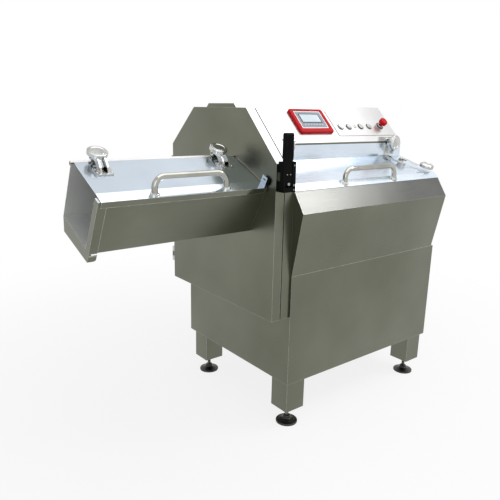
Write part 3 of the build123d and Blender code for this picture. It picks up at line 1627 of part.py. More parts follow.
sub_parts = [
    machine_frame, foot_lock_nuts, cabinet_skin, rear_panel, machine_deck, chamber_front,
    control_cover, blade_housing, cutting_mouth, feed_channel, sickle_blade, blade_spindle,
    blade_clamp, blade_bolts, spindle_bearings, motor_pulley, drive_motor, drive_belts,
    rod_supports, guide_rods, feed_screw, feed_servo, pusher_carriage, pusher_plate,
    gripper_claws, blade_door, door_seal, outfeed_trough, mouth_collar, trough_rail, trough_lid,
    trough_lid_handle, trough_lid_hinges, lid_switch, door_hinge_leaves, latch_block,
    latch_lever, chamber_lid, chamber_lid_handle, chamber_hinge_blocks, chamber_lid_hinges,
    lid_lock_bar, lid_lock_lever, screen_frame, screen_face, screen_glass, button_plate,
    button_rings, emergency_stop, power_lamp, inlet_gland,
]
sub_parts += list(feet.values()) + list(buttons.values())

os.makedirs("parts", exist_ok=True)
for sub_part in sub_parts:
    export_step(sub_part.part, "parts/" + sub_part.part.label + ".step")
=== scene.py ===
# %% [markdown]
# # A portion slicer for meat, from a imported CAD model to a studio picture
#
# The machine is mostly folded stainless sheet: a cabinet on four levelling feet, a blade
# housing with a hinged door, a trough for the slices and a sloped cover with the controls.
# The CAD model already holds every body at its real size, so this script loads it as a
# fixed frame, gives each sheet, casting and moulding a finish, and adds the small pieces
# that a CAD model leaves plain: screws, washers, gaskets, threads and keys.

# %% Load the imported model
import json
from math import cos, pi, radians, sin

import bmesh
import bpy
from mathutils import Matrix, Vector


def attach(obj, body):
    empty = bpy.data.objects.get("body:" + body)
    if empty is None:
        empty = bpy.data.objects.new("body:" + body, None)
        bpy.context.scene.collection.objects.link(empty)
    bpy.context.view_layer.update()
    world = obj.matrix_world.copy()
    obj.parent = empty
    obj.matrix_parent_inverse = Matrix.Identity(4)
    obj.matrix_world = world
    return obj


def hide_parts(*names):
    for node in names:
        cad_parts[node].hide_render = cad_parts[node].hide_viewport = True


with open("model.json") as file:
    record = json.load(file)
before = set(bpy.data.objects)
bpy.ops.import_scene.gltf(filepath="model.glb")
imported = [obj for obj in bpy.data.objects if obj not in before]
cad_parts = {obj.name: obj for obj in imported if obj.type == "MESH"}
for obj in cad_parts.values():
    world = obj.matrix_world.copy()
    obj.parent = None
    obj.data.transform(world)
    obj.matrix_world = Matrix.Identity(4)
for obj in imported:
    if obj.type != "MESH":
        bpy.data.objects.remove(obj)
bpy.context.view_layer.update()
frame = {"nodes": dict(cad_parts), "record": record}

# %% [markdown]
# ## Camera
#
# The photograph was taken from the left, a little above the lids, with the camera tipped
# down by about fourteen degrees. A camera's direction can be typed in as three turns, but
# the turns depend on their order. Here the view is written as a heading, a tilt and a
# small roll, and the camera's three own directions are worked out from them. A level
# camera would be simpler, but the photograph's verticals lean, so the roll is kept.

# %% Camera at the photograph's place
camera_place = Vector((-1.5170, -1.8899, 1.3351))
camera_heading = radians(38.28)
camera_tilt = radians(14.42)
camera_roll = radians(1.2)
focal_pixels = 538.8
picture_pixels = 500

level_right = Vector((cos(camera_heading), -sin(camera_heading), 0))
forward = Vector((
    sin(camera_heading) * cos(camera_tilt),
    cos(camera_heading) * cos(camera_tilt),
    -sin(camera_tilt),
))
level_up = level_right.cross(forward)
camera_right = level_right * cos(camera_roll) + level_up * sin(camera_roll)
camera_up = level_up * cos(camera_roll) - level_right * sin(camera_roll)

camera_data = bpy.data.cameras.new("studio_camera")
camera_data.sensor_width = 36
camera_data.lens = camera_data.sensor_width * focal_pixels / picture_pixels
camera_data.clip_end = 60
camera = bpy.data.objects.new("studio_camera", camera_data)
camera.matrix_world = Matrix.Translation(camera_place) @ Matrix(
    (camera_right, camera_up, -forward)
).transposed().to_4x4()
bpy.context.scene.collection.objects.link(camera)
bpy.context.scene.camera = camera
bpy.context.scene.view_settings.view_transform = "Standard"
print("lens in mm:", round(camera_data.lens, 2))

# %% [markdown]
# ## Light
#
# Stainless steel shows what it reflects. In the photograph every sheet that leans back is
# almost white, and every upright sheet is an olive grey, so the light came from a wide
# ceiling in front of the machine and to its right. The lamp's size and place matter more
# than its power: it is placed by following the view's reflection off the sloped panel. The
# steep slope under the lid mirrors it only at its left end, which gives that slope its run
# from white to grey. A smaller lamp strengthens that run, and a weak one in front keeps the
# upright sheets from going black.

# %% Soft lamps
def soft_lamp(name, place, aim, width, depth, power):
    """Rectangular lamp at a place, turned towards another place."""
    data = bpy.data.lights.new(name, "AREA")
    data.shape = "RECTANGLE"
    data.size = width
    data.size_y = depth
    data.energy = power
    lamp = bpy.data.objects.new(name, data)
    direction = Vector(aim) - Vector(place)
    turned = direction.to_track_quat("-Z", "Y").to_matrix().to_4x4()
    lamp.matrix_world = Matrix.Translation(place) @ turned
    bpy.context.scene.collection.objects.link(lamp)


soft_lamp("ceiling_light", place=(0.7, -1.1, 3.6), aim=(0.7, -1.1, 0),
          width=4.6, depth=3.7, power=78)
soft_lamp("slope_light", place=(2.0, -1.7, 2.8), aim=(-0.1, -0.39, 1.0),
          width=0.7, depth=0.7, power=18)
soft_lamp("front_light", place=(-2.6, -3.4, 2.2), aim=(0.0, 0.0, 0.8),
          width=2.5, depth=2.0, power=20)

# %% [markdown]
# ## A white surround
#
# The background is white, but a world that shines white on everything would wash the steel
# out. The Light Path node tells what kind of ray is asking: the camera, a reflection and a
# view through glass get full white, and plain light gets only a share of it. Each node takes
# several lines to make and to join, so a few helpers do that from here on.

# %% Helpers for nodes, and the world
def feed(tree, socket, value):
    """Give a socket a fixed value or another node's output."""
    if isinstance(value, bpy.types.NodeSocket):
        tree.links.new(value, socket)
    else:
        socket.default_value = value


def calculated(tree, operation, *values):
    """Output of a Math node."""
    step = tree.nodes.new("ShaderNodeMath")
    step.operation = operation
    for socket, value in zip(step.inputs, values):
        feed(tree, socket, value)
    return step.outputs[0]


def spread(tree, value, old=(0, 1), new=(0, 1), smooth=False):
    """Output that carries a value from an old range to a new one."""
    step = tree.nodes.new("ShaderNodeMapRange")
    step.interpolation_type = "SMOOTHSTEP" if smooth else "LINEAR"
    feed(tree, step.inputs["Value"], value)
    for socket_name, end in zip(("From Min", "From Max", "To Min", "To Max"), (*old, *new)):
        feed(tree, step.inputs[socket_name], end)
    return step.outputs["Result"]


surround_light = 0.3
world = bpy.data.worlds.new("studio")
bpy.context.scene.world = world
world.use_nodes = True
tree = world.node_tree
ray = tree.nodes.new("ShaderNodeLightPath")
seen = calculated(tree, "MAXIMUM", ray.outputs["Is Camera Ray"], ray.outputs["Is Glossy Ray"])
seen = calculated(tree, "MAXIMUM", seen, ray.outputs["Is Transmission Ray"])
surround = tree.nodes["Background"]
surround.inputs["Color"].default_value = (1, 1, 1, 1)
feed(tree, surround.inputs["Strength"], spread(tree, seen, new=(surround_light, 1)))
print("surround's share of plain light:", surround_light)

# %% [markdown]
# ## Floor
#
# The machine stands on a plain pale floor that the photograph shows as white. Under the
# machine the floor keeps its own colour and so its shadows; a share of plain white is mixed
# in for the camera and for reflections, and that share grows with the distance, so that no
# horizon line shows on the floor or in the steel.

# %% Floor
floor_half_size = 30
floor_grey = 0.93
fade_distances = (0.6, 3.0)
white_shares = (0.84, 1.0)

floor_mesh = bpy.data.meshes.new("studio_floor")
floor_form = bmesh.new()
bmesh.ops.create_grid(floor_form, x_segments=1, y_segments=1, size=floor_half_size)
floor_form.to_mesh(floor_mesh)
floor_form.free()
floor = bpy.data.objects.new("studio_floor", floor_mesh)
bpy.context.scene.collection.objects.link(floor)

floor_material = bpy.data.materials.new("pale_floor")
floor_material.use_nodes = True
tree = floor_material.node_tree
floor_shader = tree.nodes["Principled BSDF"]
floor_shader.inputs["Base Color"].default_value = (floor_grey, floor_grey, floor_grey, 1)
floor_shader.inputs["Roughness"].default_value = 0.9
floor_shader.inputs["Specular IOR Level"].default_value = 0.1
floor_light = tree.nodes.new("ShaderNodeEmission")
floor_light.inputs["Color"].default_value = (1, 1, 1, 1)
floor_place = tree.nodes.new("ShaderNodeTexCoord")
floor_distance = tree.nodes.new("ShaderNodeVectorMath")
floor_distance.operation = "LENGTH"
feed(tree, floor_distance.inputs[0], floor_place.outputs["Object"])
fade = spread(tree, floor_distance.outputs["Value"], fade_distances, white_shares, smooth=True)
ray = tree.nodes.new("ShaderNodeLightPath")
seen = calculated(tree, "MAXIMUM", ray.outputs["Is Camera Ray"], ray.outputs["Is Glossy Ray"])
floor_mix = tree.nodes.new("ShaderNodeMixShader")
feed(tree, floor_mix.inputs["Fac"], calculated(tree, "MULTIPLY", seen, fade))
feed(tree, floor_mix.inputs[1], floor_shader.outputs["BSDF"])
feed(tree, floor_mix.inputs[2], floor_light.outputs["Emission"])
feed(tree, tree.nodes["Material Output"].inputs["Surface"], floor_mix.outputs["Shader"])
floor_mesh.materials.append(floor_material)
print("floor spans", floor.dimensions[0], "m")

# %% [markdown]
# ## Grain and clouds
#
# Sheet metal is never one even colour. Brushing leaves fine lines in one direction, and
# hands and cloths leave wide soft clouds of more and less shine. Both come from noise: the
# lines are noise that is squeezed hard across the grain and stretched along it, the clouds
# are plain noise at the size of a hand. They are made once as a node group, so that every
# metal can use them with its own direction and strength.

# %% Node group for grain and clouds
def node_group(name, inputs, masks):
    """Node group with inputs that have defaults, and the sockets inside it at both ends."""
    group = bpy.data.node_groups.new(name, "ShaderNodeTree")
    for socket_name, default in inputs.items():
        kind = "NodeSocketVector" if isinstance(default, tuple) else "NodeSocketFloat"
        made = group.interface.new_socket(socket_name, in_out="INPUT", socket_type=kind)
        made.default_value = default
    for socket_name in masks:
        group.interface.new_socket(socket_name, in_out="OUTPUT", socket_type="NodeSocketFloat")
    entry = group.nodes.new("NodeGroupInput")
    leave = group.nodes.new("NodeGroupOutput")
    return group, entry.outputs, leave.inputs


def combined(tree, operation, first, second):
    """Output of a Vector Math node: a number for a dot product, or else a vector."""
    step = tree.nodes.new("ShaderNodeVectorMath")
    step.operation = operation
    feed(tree, step.inputs[0], first)
    feed(tree, step.inputs[1], second)
    return step.outputs["Value" if operation == "DOT_PRODUCT" else "Vector"]


def noise(tree, vector, scale, detail, roughness):
    """Output of a noise pattern."""
    pattern = tree.nodes.new("ShaderNodeTexNoise")
    feed(tree, pattern.inputs["Vector"], vector)
    feed(tree, pattern.inputs["Scale"], scale)
    feed(tree, pattern.inputs["Detail"], detail)
    feed(tree, pattern.inputs["Roughness"], roughness)
    return pattern.outputs["Fac"]


cloud_ends = (0.3, 0.7)
grain_group, given, masks = node_group(
    "grain_and_clouds",
    {"Vector": (0, 0, 0), "Lines": (900, 900, 6), "Cloud Size": 4.0},
    ["Grain", "Clouds"],
)
stretched = combined(grain_group, "MULTIPLY", given["Vector"], given["Lines"])
lines = noise(grain_group, stretched, scale=1.0, detail=4.0, roughness=0.65)
clouds = noise(grain_group, given["Vector"], given["Cloud Size"], detail=3.0, roughness=0.5)
feed(grain_group, masks["Grain"], lines)
feed(grain_group, masks["Clouds"], spread(grain_group, clouds, cloud_ends))
print("grain group's nodes:", len(grain_group.nodes))

# %% [markdown]
# ## Where a surface faces
#
# Where a sheet leans back its colour is a painted reflection of the ceiling, brighter than
# the upright ones, and the inside of the trough is painted light, brighter than its outside.
# Both are masks made from the surface's direction: one reads how far it faces a given way,
# the other whether it faces an axis along the machine. They read the direction in the
# piece's own coordinates, so a door that swings keeps its painted colours.

# %% Node groups for facing a way and facing inwards
facing_group, given, masks = node_group(
    "facing_a_way",
    {"Normal": (0, 0, 1), "Way": (0, 0, 1), "Low": 0.56, "High": 0.69},
    ["Mask"],
)
agrees = combined(facing_group, "DOT_PRODUCT", given["Normal"], given["Way"])
ramp = spread(facing_group, agrees, (given["Low"], given["High"]), smooth=True)
feed(facing_group, masks["Mask"], ramp)

across_machine = (0, 1, 1)
inward_ends = (0, 0.04)
inward_group, given, masks = node_group(
    "facing_inwards",
    {"Vector": (0, 0, 0), "Normal": (0, 0, 0), "Axis Place": (0, 0, 0)},
    ["Mask"],
)
towards = combined(inward_group, "SUBTRACT", given["Axis Place"], given["Vector"])
towards = combined(inward_group, "MULTIPLY", towards, across_machine)
agrees = combined(inward_group, "DOT_PRODUCT", towards, given["Normal"])
feed(inward_group, masks["Mask"], spread(inward_group, agrees, inward_ends))
print("groups:", [group.name for group in bpy.data.node_groups])

# %% [markdown]
# ## Rubbed and highlit folds
#
# Where a sheet is folded, or a casting has a corner, the grinding belt and years of wiping
# leave a brighter line, and here that line is also a painted highlight, the glint a rounded
# edge would catch. The Bevel node gives the direction that a slightly rounded edge would
# have; where it differs from the real direction, there is an edge. Noise breaks the line up,
# because no edge is rubbed evenly.

# %% Node group for rubbed and highlit folds
edge_samples = 6
edge_ends = (0.995, 0.86)
patch_scale = 38.0
patch_ends = (0.3, 0.6)
least_rub_and_highlight = 0.35
# The mask lightens edges: rubbing and painted highlight together.
rub_and_highlight_group, given, masks = node_group(
    "rubbed_and_highlit_folds", {"Vector": (0, 0, 0), "Width": 0.0025}, ["Mask"]
)
rounded = rub_and_highlight_group.nodes.new("ShaderNodeBevel")
rounded.samples = edge_samples
feed(rub_and_highlight_group, rounded.inputs["Radius"], given["Width"])
straight = rub_and_highlight_group.nodes.new("ShaderNodeNewGeometry")
same = combined(rub_and_highlight_group, "DOT_PRODUCT", rounded.outputs["Normal"], straight.outputs["Normal"])
edges = spread(rub_and_highlight_group, same, edge_ends)
patches = noise(rub_and_highlight_group, given["Vector"], patch_scale, detail=3.0, roughness=0.5)
broken = spread(rub_and_highlight_group, patches, patch_ends, (least_rub_and_highlight, 1))
feed(rub_and_highlight_group, masks["Mask"], calculated(rub_and_highlight_group, "MULTIPLY", edges, broken))
print("edge samples:", rounded.samples)

# %% [markdown]
# ## One recipe for every finish
#
# All finishes here are an opaque surface whose colour and roughness vary a little and
# whose skin has a fine relief. One function sets up that recipe: two colours that the
# clouds blend, a range of roughness that the grain moves through, and a relief. What makes
# steel steel or plastic plastic is then only the numbers. The shader stays in each
# material, and the groups only feed it.

# %% Recipe for a finish
relief_depth = 0.0004
cloud_share = 0.4
texture_ends = (0.3, 1.1)


def blended(tree, first, second, mask):
    """Colour output that goes from a first colour to a second one as a mask goes from 0 to 1."""
    layer = tree.nodes.new("ShaderNodeMix")
    layer.data_type = "RGBA"
    for socket, colour in ((layer.inputs["A"], first), (layer.inputs["B"], second)):
        feed(tree, socket, (*colour, 1) if isinstance(colour, tuple) else colour)
    feed(tree, layer.inputs["Factor"], mask)
    return layer.outputs["Result"]


def placed(tree, group, values):
    """Outputs of a node group that is placed in a material with its own values."""
    effect = tree.nodes.new("ShaderNodeGroup")
    effect.node_tree = group
    for socket_name, value in values.items():
        feed(tree, effect.inputs[socket_name], value)
    return effect.outputs


def finish(name, dark, light, rough, cloud_size, metal=0.0, lines=(400, 400, 400), relief=0.05,
           coat=0.0, shine=0.5, facing=None, inside=None, rubbed_and_highlit_edge=None, rubbed_and_highlit_share=0.0, width=0.0025):
    """Material whose colour runs from dark to light with the clouds and whose relief is the grain.

    facing holds a second dark and light for surfaces that face a way, with that way and the
    two amounts between which they fade in; that pair paints reflection and shade by direction.
    inside holds such a pair, the axis that the inner surfaces face and how metallic they are;
    that pair is painted light. The last three arguments give the edges' lighter line, which is
    rubbing and painted highlight together: its colour, its strength and its reach. shine is the
    specular level of a surface that isn't metal.
    """
    material = bpy.data.materials.new(name)
    material.use_nodes = True
    tree = material.node_tree
    shader = tree.nodes["Principled BSDF"]
    shader.inputs["Metallic"].default_value = metal
    shader.inputs["Coat Weight"].default_value = coat
    shader.inputs["Specular IOR Level"].default_value = shine
    where = tree.nodes.new("ShaderNodeTexCoord")
    place = where.outputs["Object"]
    normal = where.outputs["Normal"]
    texture = placed(tree, grain_group, {
        "Vector": place, "Lines": lines, "Cloud Size": cloud_size,
    })
    colour = blended(tree, dark, light, texture["Clouds"])
    # Second pair of colours where the surface faces a way: painted reflection and shade by
    # direction.
    if facing:
        mask = placed(tree, facing_group, {
            "Normal": normal, "Way": facing["way"], "Low": facing["low"], "High": facing["high"],
        })["Mask"]
        second = blended(tree, facing["dark"], facing["light"], texture["Clouds"])
        colour = blended(tree, colour, second, mask)
    # Inner surfaces get a brighter pair as painted light, and less metal.
    if inside:
        mask = placed(tree, inward_group, {
            "Vector": place, "Normal": normal, "Axis Place": inside["axis"],
        })["Mask"]
        painted_inner_light = blended(tree, inside["dark"], inside["light"], texture["Clouds"])
        colour = blended(tree, colour, painted_inner_light, mask)
        duller = spread(tree, mask, new=(metal, inside["metal"]))
        feed(tree, shader.inputs["Metallic"], duller)
    # Edges get a lighter line, rubbing and painted highlight together.
    if rubbed_and_highlit_edge:
        mask = placed(tree, rub_and_highlight_group, {"Vector": place, "Width": width})["Mask"]
        colour = blended(tree, colour, rubbed_and_highlit_edge, calculated(tree, "MULTIPLY", mask, rubbed_and_highlit_share))
    feed(tree, shader.inputs["Base Color"], colour)
    both = calculated(tree, "MULTIPLY_ADD", texture["Clouds"], cloud_share, texture["Grain"])
    feed(tree, shader.inputs["Roughness"], spread(tree, both, texture_ends, rough))
    bump = tree.nodes.new("ShaderNodeBump")
    bump.inputs["Strength"].default_value = relief
    bump.inputs["Distance"].default_value = relief_depth
    feed(tree, bump.inputs["Height"], texture["Grain"])
    feed(tree, shader.inputs["Normal"], bump.outputs["Normal"])
    return material


print("relief's depth in metres:", relief_depth)

# %% [markdown]
# ## The folded sheets
#
# All sheets are one stainless steel, yet they don't look alike, and much of that is painted
# reflection. The upright ones are brushed up and down, and their dark olive is a painted
# reflection of a dim room. Where a sheet leans back, the facing mask brings in a brighter pair
# of colours, a painted reflection of the ceiling. The trough, its rail and the chamber's front
# are brushed along their length, and the lids are bright mirror sheet with fine lines.

# %% Sheets
# Dark olive pair: painted reflection of a dim room on the upright steel.
painted_dim_reflection_dark = (0.138, 0.143, 0.108)
painted_dim_reflection_light = (0.192, 0.196, 0.156)
# Lighter colours for edges: rubbing and painted highlight together.
fold_rub_and_highlight = (0.62, 0.62, 0.58)
mirror_edge_rub_and_highlight = (0.92, 0.92, 0.92)
upwards = (0, 0, 1)
upright_lines = (520, 520, 5)
long_lines = (5, 520, 520)
mirror_lines = (6, 520, 520)
# Bright pair where a sheet leans back: painted reflection of the ceiling.
leaning_back_painted_reflection = {"dark": (0.54, 0.54, 0.54), "light": (0.66, 0.66, 0.655),
                "way": upwards, "low": 0.57, "high": 0.69}
# On the chamber's front the faces that lean back are painted darker: painted shade.
chamber_slope_painted_shade = {"dark": (0.106, 0.108, 0.101), "light": (0.142, 0.144, 0.136),
               "way": upwards, "low": 0.30, "high": 0.50}
# The rail's top is painted bright: a painted reflection of the ceiling.
rail_top_painted_reflection = {"dark": (0.80, 0.80, 0.80), "light": (0.90, 0.90, 0.90),
            "way": upwards, "low": 0.57, "high": 0.69}
# The trough lid's front flange is painted olive: a painted reflection of a dim room.
lid_flange_painted_dim_reflection = {"dark": painted_dim_reflection_dark, "light": painted_dim_reflection_light,
                "way": (0, -0.903, -0.429), "low": 0.90, "high": 0.97}
# The trough's inside is painted brighter: painted light.
trough_inside_painted_light = {"dark": (0.70, 0.71, 0.69), "light": (0.82, 0.83, 0.82),
                 "axis": (0, -0.148, 1.0075), "metal": 0.35}
finishes = {
    "stainless": finish(
        "upright_brushed_steel", painted_dim_reflection_dark, painted_dim_reflection_light, rough=(0.26, 0.40), metal=1.0,
        lines=upright_lines, cloud_size=2.2, relief=0.10, facing=leaning_back_painted_reflection,
        rubbed_and_highlit_edge=fold_rub_and_highlight, rubbed_and_highlit_share=0.65),
    "chamber_steel": finish(
        "slope_brushed_steel", painted_dim_reflection_dark, painted_dim_reflection_light, rough=(0.24, 0.36), metal=1.0,
        lines=long_lines, cloud_size=2.2, relief=0.12, facing=chamber_slope_painted_shade,
        rubbed_and_highlit_edge=fold_rub_and_highlight, rubbed_and_highlit_share=0.75),
    "rail_steel": finish(
        "rail_brushed_steel", painted_dim_reflection_dark, painted_dim_reflection_light, rough=(0.20, 0.34), metal=1.0,
        lines=long_lines, cloud_size=4.0, relief=0.08, facing=rail_top_painted_reflection,
        rubbed_and_highlit_edge=fold_rub_and_highlight, rubbed_and_highlit_share=0.6),
    "trough_steel": finish(
        "trough_brushed_steel", painted_dim_reflection_dark, painted_dim_reflection_light, rough=(0.26, 0.42), metal=1.0,
        lines=long_lines, cloud_size=3.0, relief=0.12, facing=leaning_back_painted_reflection,
        inside=trough_inside_painted_light, rubbed_and_highlit_edge=fold_rub_and_highlight, rubbed_and_highlit_share=0.75),
    # The lids' bluish tint is painted reflection.
    "lid_steel": finish(
        "trough_lid_mirror", (0.52, 0.585, 0.66), (0.62, 0.69, 0.77), rough=(0.10, 0.20),
        metal=1.0, lines=mirror_lines, cloud_size=3.0, relief=0.04, facing=lid_flange_painted_dim_reflection,
        rubbed_and_highlit_edge=mirror_edge_rub_and_highlight, rubbed_and_highlit_share=0.8),
    # Bluish tint here too: painted reflection.
    "bright_stainless": finish(
        "mirror_sheet", (0.60, 0.675, 0.765), (0.74, 0.815, 0.90), rough=(0.20, 0.32),
        metal=1.0, lines=mirror_lines, cloud_size=3.0, relief=0.04,
        rubbed_and_highlit_edge=mirror_edge_rub_and_highlight, rubbed_and_highlit_share=0.8),
}
print("sheet finishes:", len(finishes))

# %% [markdown]
# ## Castings, tube and paints
#
# The hinges and the lock are polished castings, and the handles are polished tube. Turned
# pieces have fine lines round them. The feet are blackened, and only their edges are lighter,
# rubbed and painted highlight together; the castings, the turned and milled pieces and the
# motor get the same lighter edge. The motor and the feed's drive are painted, so they aren't
# metallic.

# %% Castings, tube and paints
even_lines = (150, 150, 150)
finishes.update({
    "polished_steel": finish(
        "polished_casting", (0.42, 0.425, 0.41), (0.66, 0.665, 0.65), rough=(0.05, 0.14),
        metal=1.0, lines=even_lines, cloud_size=30.0, relief=0.12,
        rubbed_and_highlit_edge=(0.88, 0.88, 0.87), rubbed_and_highlit_share=0.7, width=0.0012),
    "tube_steel": finish(
        "polished_tube", (0.30, 0.30, 0.265), (0.44, 0.44, 0.40), rough=(0.04, 0.10),
        metal=1.0, lines=even_lines, cloud_size=9.0, relief=0.04),
    "ground_steel": finish(
        "turned_steel", (0.36, 0.36, 0.36), (0.46, 0.46, 0.46), rough=(0.22, 0.38),
        metal=1.0, lines=(40, 40, 900), cloud_size=12.0, relief=0.10,
        rubbed_and_highlit_edge=(0.7, 0.7, 0.7), rubbed_and_highlit_share=0.6, width=0.0012),
    "foot_steel": finish(
        "blackened_foot", (0.040, 0.040, 0.038), (0.085, 0.085, 0.080), rough=(0.28, 0.46),
        metal=1.0, lines=(90, 90, 300), cloud_size=16.0, relief=0.15,
        rubbed_and_highlit_edge=(0.42, 0.42, 0.40), rubbed_and_highlit_share=0.9, width=0.0020),
    "machined_aluminium": finish(
        "milled_aluminium", (0.50, 0.51, 0.53), (0.60, 0.61, 0.63), rough=(0.25, 0.42),
        metal=1.0, lines=(900, 30, 30), cloud_size=10.0, relief=0.10,
        rubbed_and_highlit_edge=(0.8, 0.8, 0.82), rubbed_and_highlit_share=0.5, width=0.0012),
    "cast_pulley": finish(
        "turned_cast_iron", (0.07, 0.07, 0.075), (0.11, 0.11, 0.115), rough=(0.40, 0.60),
        metal=0.8, lines=(60, 60, 60), cloud_size=20.0, relief=0.20),
    "motor_paint": finish(
        "satin_motor_paint", (0.075, 0.095, 0.12), (0.095, 0.115, 0.14), rough=(0.38, 0.52),
        lines=(260, 260, 260), cloud_size=8.0, relief=0.15,
        rubbed_and_highlit_edge=(0.30, 0.30, 0.31), rubbed_and_highlit_share=0.35, width=0.0015),
    "servo_black": finish(
        "satin_black_paint", (0.008, 0.008, 0.009), (0.014, 0.014, 0.015),
        rough=(0.35, 0.50), cloud_size=10.0, relief=0.15),
    "button_metal": finish(
        "button_metal", (0.50, 0.50, 0.49), (0.62, 0.62, 0.60), rough=(0.14, 0.24),
        metal=1.0, lines=(300, 300, 300), cloud_size=24.0),
})
print("metals and paints:", len(finishes))

# %% [markdown]
# ## Plastics and rubber
#
# Plastics use the same recipe without metal. A mould leaves a grain that is alike in every
# direction, so their lines are squeezed evenly. They differ in how rough they are and how
# much they shine: the latch is pebbled and almost dull, and the display lies under a smooth
# clear coat. The food's path is white, and the screen's frame and the stop button are red.

# %% Plastics and rubber
finishes.update({
    "white_plastic": finish(
        "white_board", (0.72, 0.72, 0.69), (0.80, 0.80, 0.77), rough=(0.42, 0.58),
        lines=(120, 120, 120), cloud_size=9.0, relief=0.20),
    # Black and red plastic edges get a lighter line: rubbing and painted highlight together.
    "black_plastic": finish(
        "grained_black_plastic", (0.002, 0.0025, 0.002), (0.005, 0.006, 0.005),
        rough=(0.40, 0.60), lines=(900, 900, 900), cloud_size=14.0, relief=0.30, shine=0.04,
        rubbed_and_highlit_edge=(0.035, 0.035, 0.03), rubbed_and_highlit_share=0.6, width=0.0014),
    "seal_rubber": finish(
        "black_rubber", (0.010, 0.010, 0.010), (0.022, 0.022, 0.022), rough=(0.60, 0.80),
        lines=(500, 500, 500), cloud_size=15.0, relief=0.30, shine=0.2),
    "red_plastic": finish(
        "red_plastic", (0.46, 0.006, 0.010), (0.56, 0.010, 0.016), rough=(0.30, 0.44),
        lines=(300, 300, 300), cloud_size=14.0, shine=0.08,
        rubbed_and_highlit_edge=(0.62, 0.03, 0.03), rubbed_and_highlit_share=0.35, width=0.0012),
    "screen_grey": finish(
        "grey_keypad", (0.24, 0.27, 0.33), (0.29, 0.32, 0.38), rough=(0.42, 0.54),
        lines=(600, 600, 600), cloud_size=14.0, relief=0.10),
    "screen_white": finish(
        "white_keypad_border", (0.88, 0.88, 0.88), (0.94, 0.94, 0.94), rough=(0.40, 0.50),
        lines=(600, 600, 600), cloud_size=14.0, relief=0.08),
    "key_blue": finish(
        "pale_key_caps", (0.44, 0.49, 0.56), (0.52, 0.57, 0.64), rough=(0.36, 0.46),
        lines=(600, 600, 600), cloud_size=30.0, relief=0.06),
    "display": finish(
        "blank_display", (0.42, 0.52, 0.58), (0.50, 0.60, 0.66), rough=(0.06, 0.12),
        lines=(20, 20, 20), cloud_size=20.0, relief=0.0, coat=0.6),
    "lamp_white": finish(
        "milky_lamp", (0.62, 0.60, 0.48), (0.74, 0.72, 0.58), rough=(0.18, 0.28),
        lines=(200, 200, 200), cloud_size=30.0, relief=0.02, coat=0.5),
})
print("finishes:", len(finishes))

# %% [markdown]
# ## Giving the CAD pieces their finish
#
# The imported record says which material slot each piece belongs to. Reading it keeps the
# picture and the record in step; a list typed here would fall behind as soon as a piece
# was added. Only a few pieces have a finish of their own, because their brushing or polish
# differs from the rest of their slot.

# %% Finishes on the CAD pieces
own_finish = {
    "outfeed_trough": "trough_steel",
    "mouth_collar": "trough_steel",
    "feed_channel": "trough_steel",
    "trough_lid": "lid_steel",
    "trough_lid_handle": "tube_steel",
    "chamber_lid_handle": "tube_steel",
    "trough_rail": "rail_steel",
    "chamber_front": "chamber_steel",
}
slot_of = {entry["node"]: entry["material_slot"] for entry in frame["record"]["subparts"]}
for node_name, node in frame["nodes"].items():
    for slot in node.material_slots:
        slot.material = finishes[own_finish.get(node_name, slot_of[node_name])]
print("pieces with a finish:", len(frame["nodes"]))

# %% [markdown]
# ## Places on the machine
#
# The small pieces are easiest to place from the machine's own corner, the lower cabinet's
# front left one, in millimetres, because the drawing counts from there. A sloped sheet gets
# a place of its own: along it to the right, up its slope, and away from its surface. Working
# in the slope's own directions saves turning each screw by hand.

# %% Places in millimetres from the cabinet's corner
mm = 0.001
cabinet_corner = (-0.1005, -0.369, 0)
from_corner = Matrix.Translation(cabinet_corner) @ Matrix.Diagonal((mm, mm, mm, 1))


def slope(y, z, angle):
    """Place whose own axes run along the machine, up a slope that starts at y and z, and off it."""
    return from_corner @ Matrix.Translation((0, y, z)) @ Matrix.Rotation(radians(angle), 4, "X")


def at(place, x, y, z=0.0):
    """Place moved along its own axes."""
    return place @ Matrix.Translation((x, y, z))


panel_angle = 45.35
trough_roll = 25.4
strip_angle = 29.75
lip_angle = 43.83
lid_angle = 17.18
panel = slope(245, 1204, panel_angle)
trough_lid_top = slope(61, 1052, trough_roll)
trough_strip = slope(57.2, 1052.97, strip_angle)
lid_lip = slope(0.2, 1039.88, lip_angle)
lid_top = slope(27, 1062, lid_angle)
facing_front = from_corner @ Matrix.Rotation(pi / 2, 4, "X")
facing_back = from_corner @ Matrix.Rotation(-pi / 2, 4, "X")
print("panel's foot at", [round(value, 4) for value in panel.translation])

# %% [markdown]
# ## Turned and moulded forms
#
# Screws, washers, rings and feet are turned: half their outline, spun about an axis. Keys
# are moulded: a block whose edges are rounded. These helpers make both with the mesh
# operators, and settle gives the result a finish and fastens it to its body.

# %% Helpers for small pieces
merge_gap = 0.001
sharp_angle = radians(35)


def added(form, earlier):
    """Corners of a form that weren't there earlier."""
    return [corner for corner in form.verts if corner not in earlier]


def turn(form, outline, place, steps):
    """Spin an outline of radius and height about the axis that stands on a place."""
    earlier = set(form.verts)
    corners = [form.verts.new((radius, 0, height)) for radius, height in outline]
    edges = [form.edges.new(pair) for pair in zip(corners, corners[1:])]
    bmesh.ops.spin(form, geom=corners + edges, cent=(0, 0, 0), axis=(0, 0, 1), angle=2 * pi,
                   steps=steps, use_merge=True)
    bmesh.ops.remove_doubles(form, verts=added(form, earlier), dist=merge_gap)
    bmesh.ops.transform(form, matrix=place, verts=added(form, earlier))


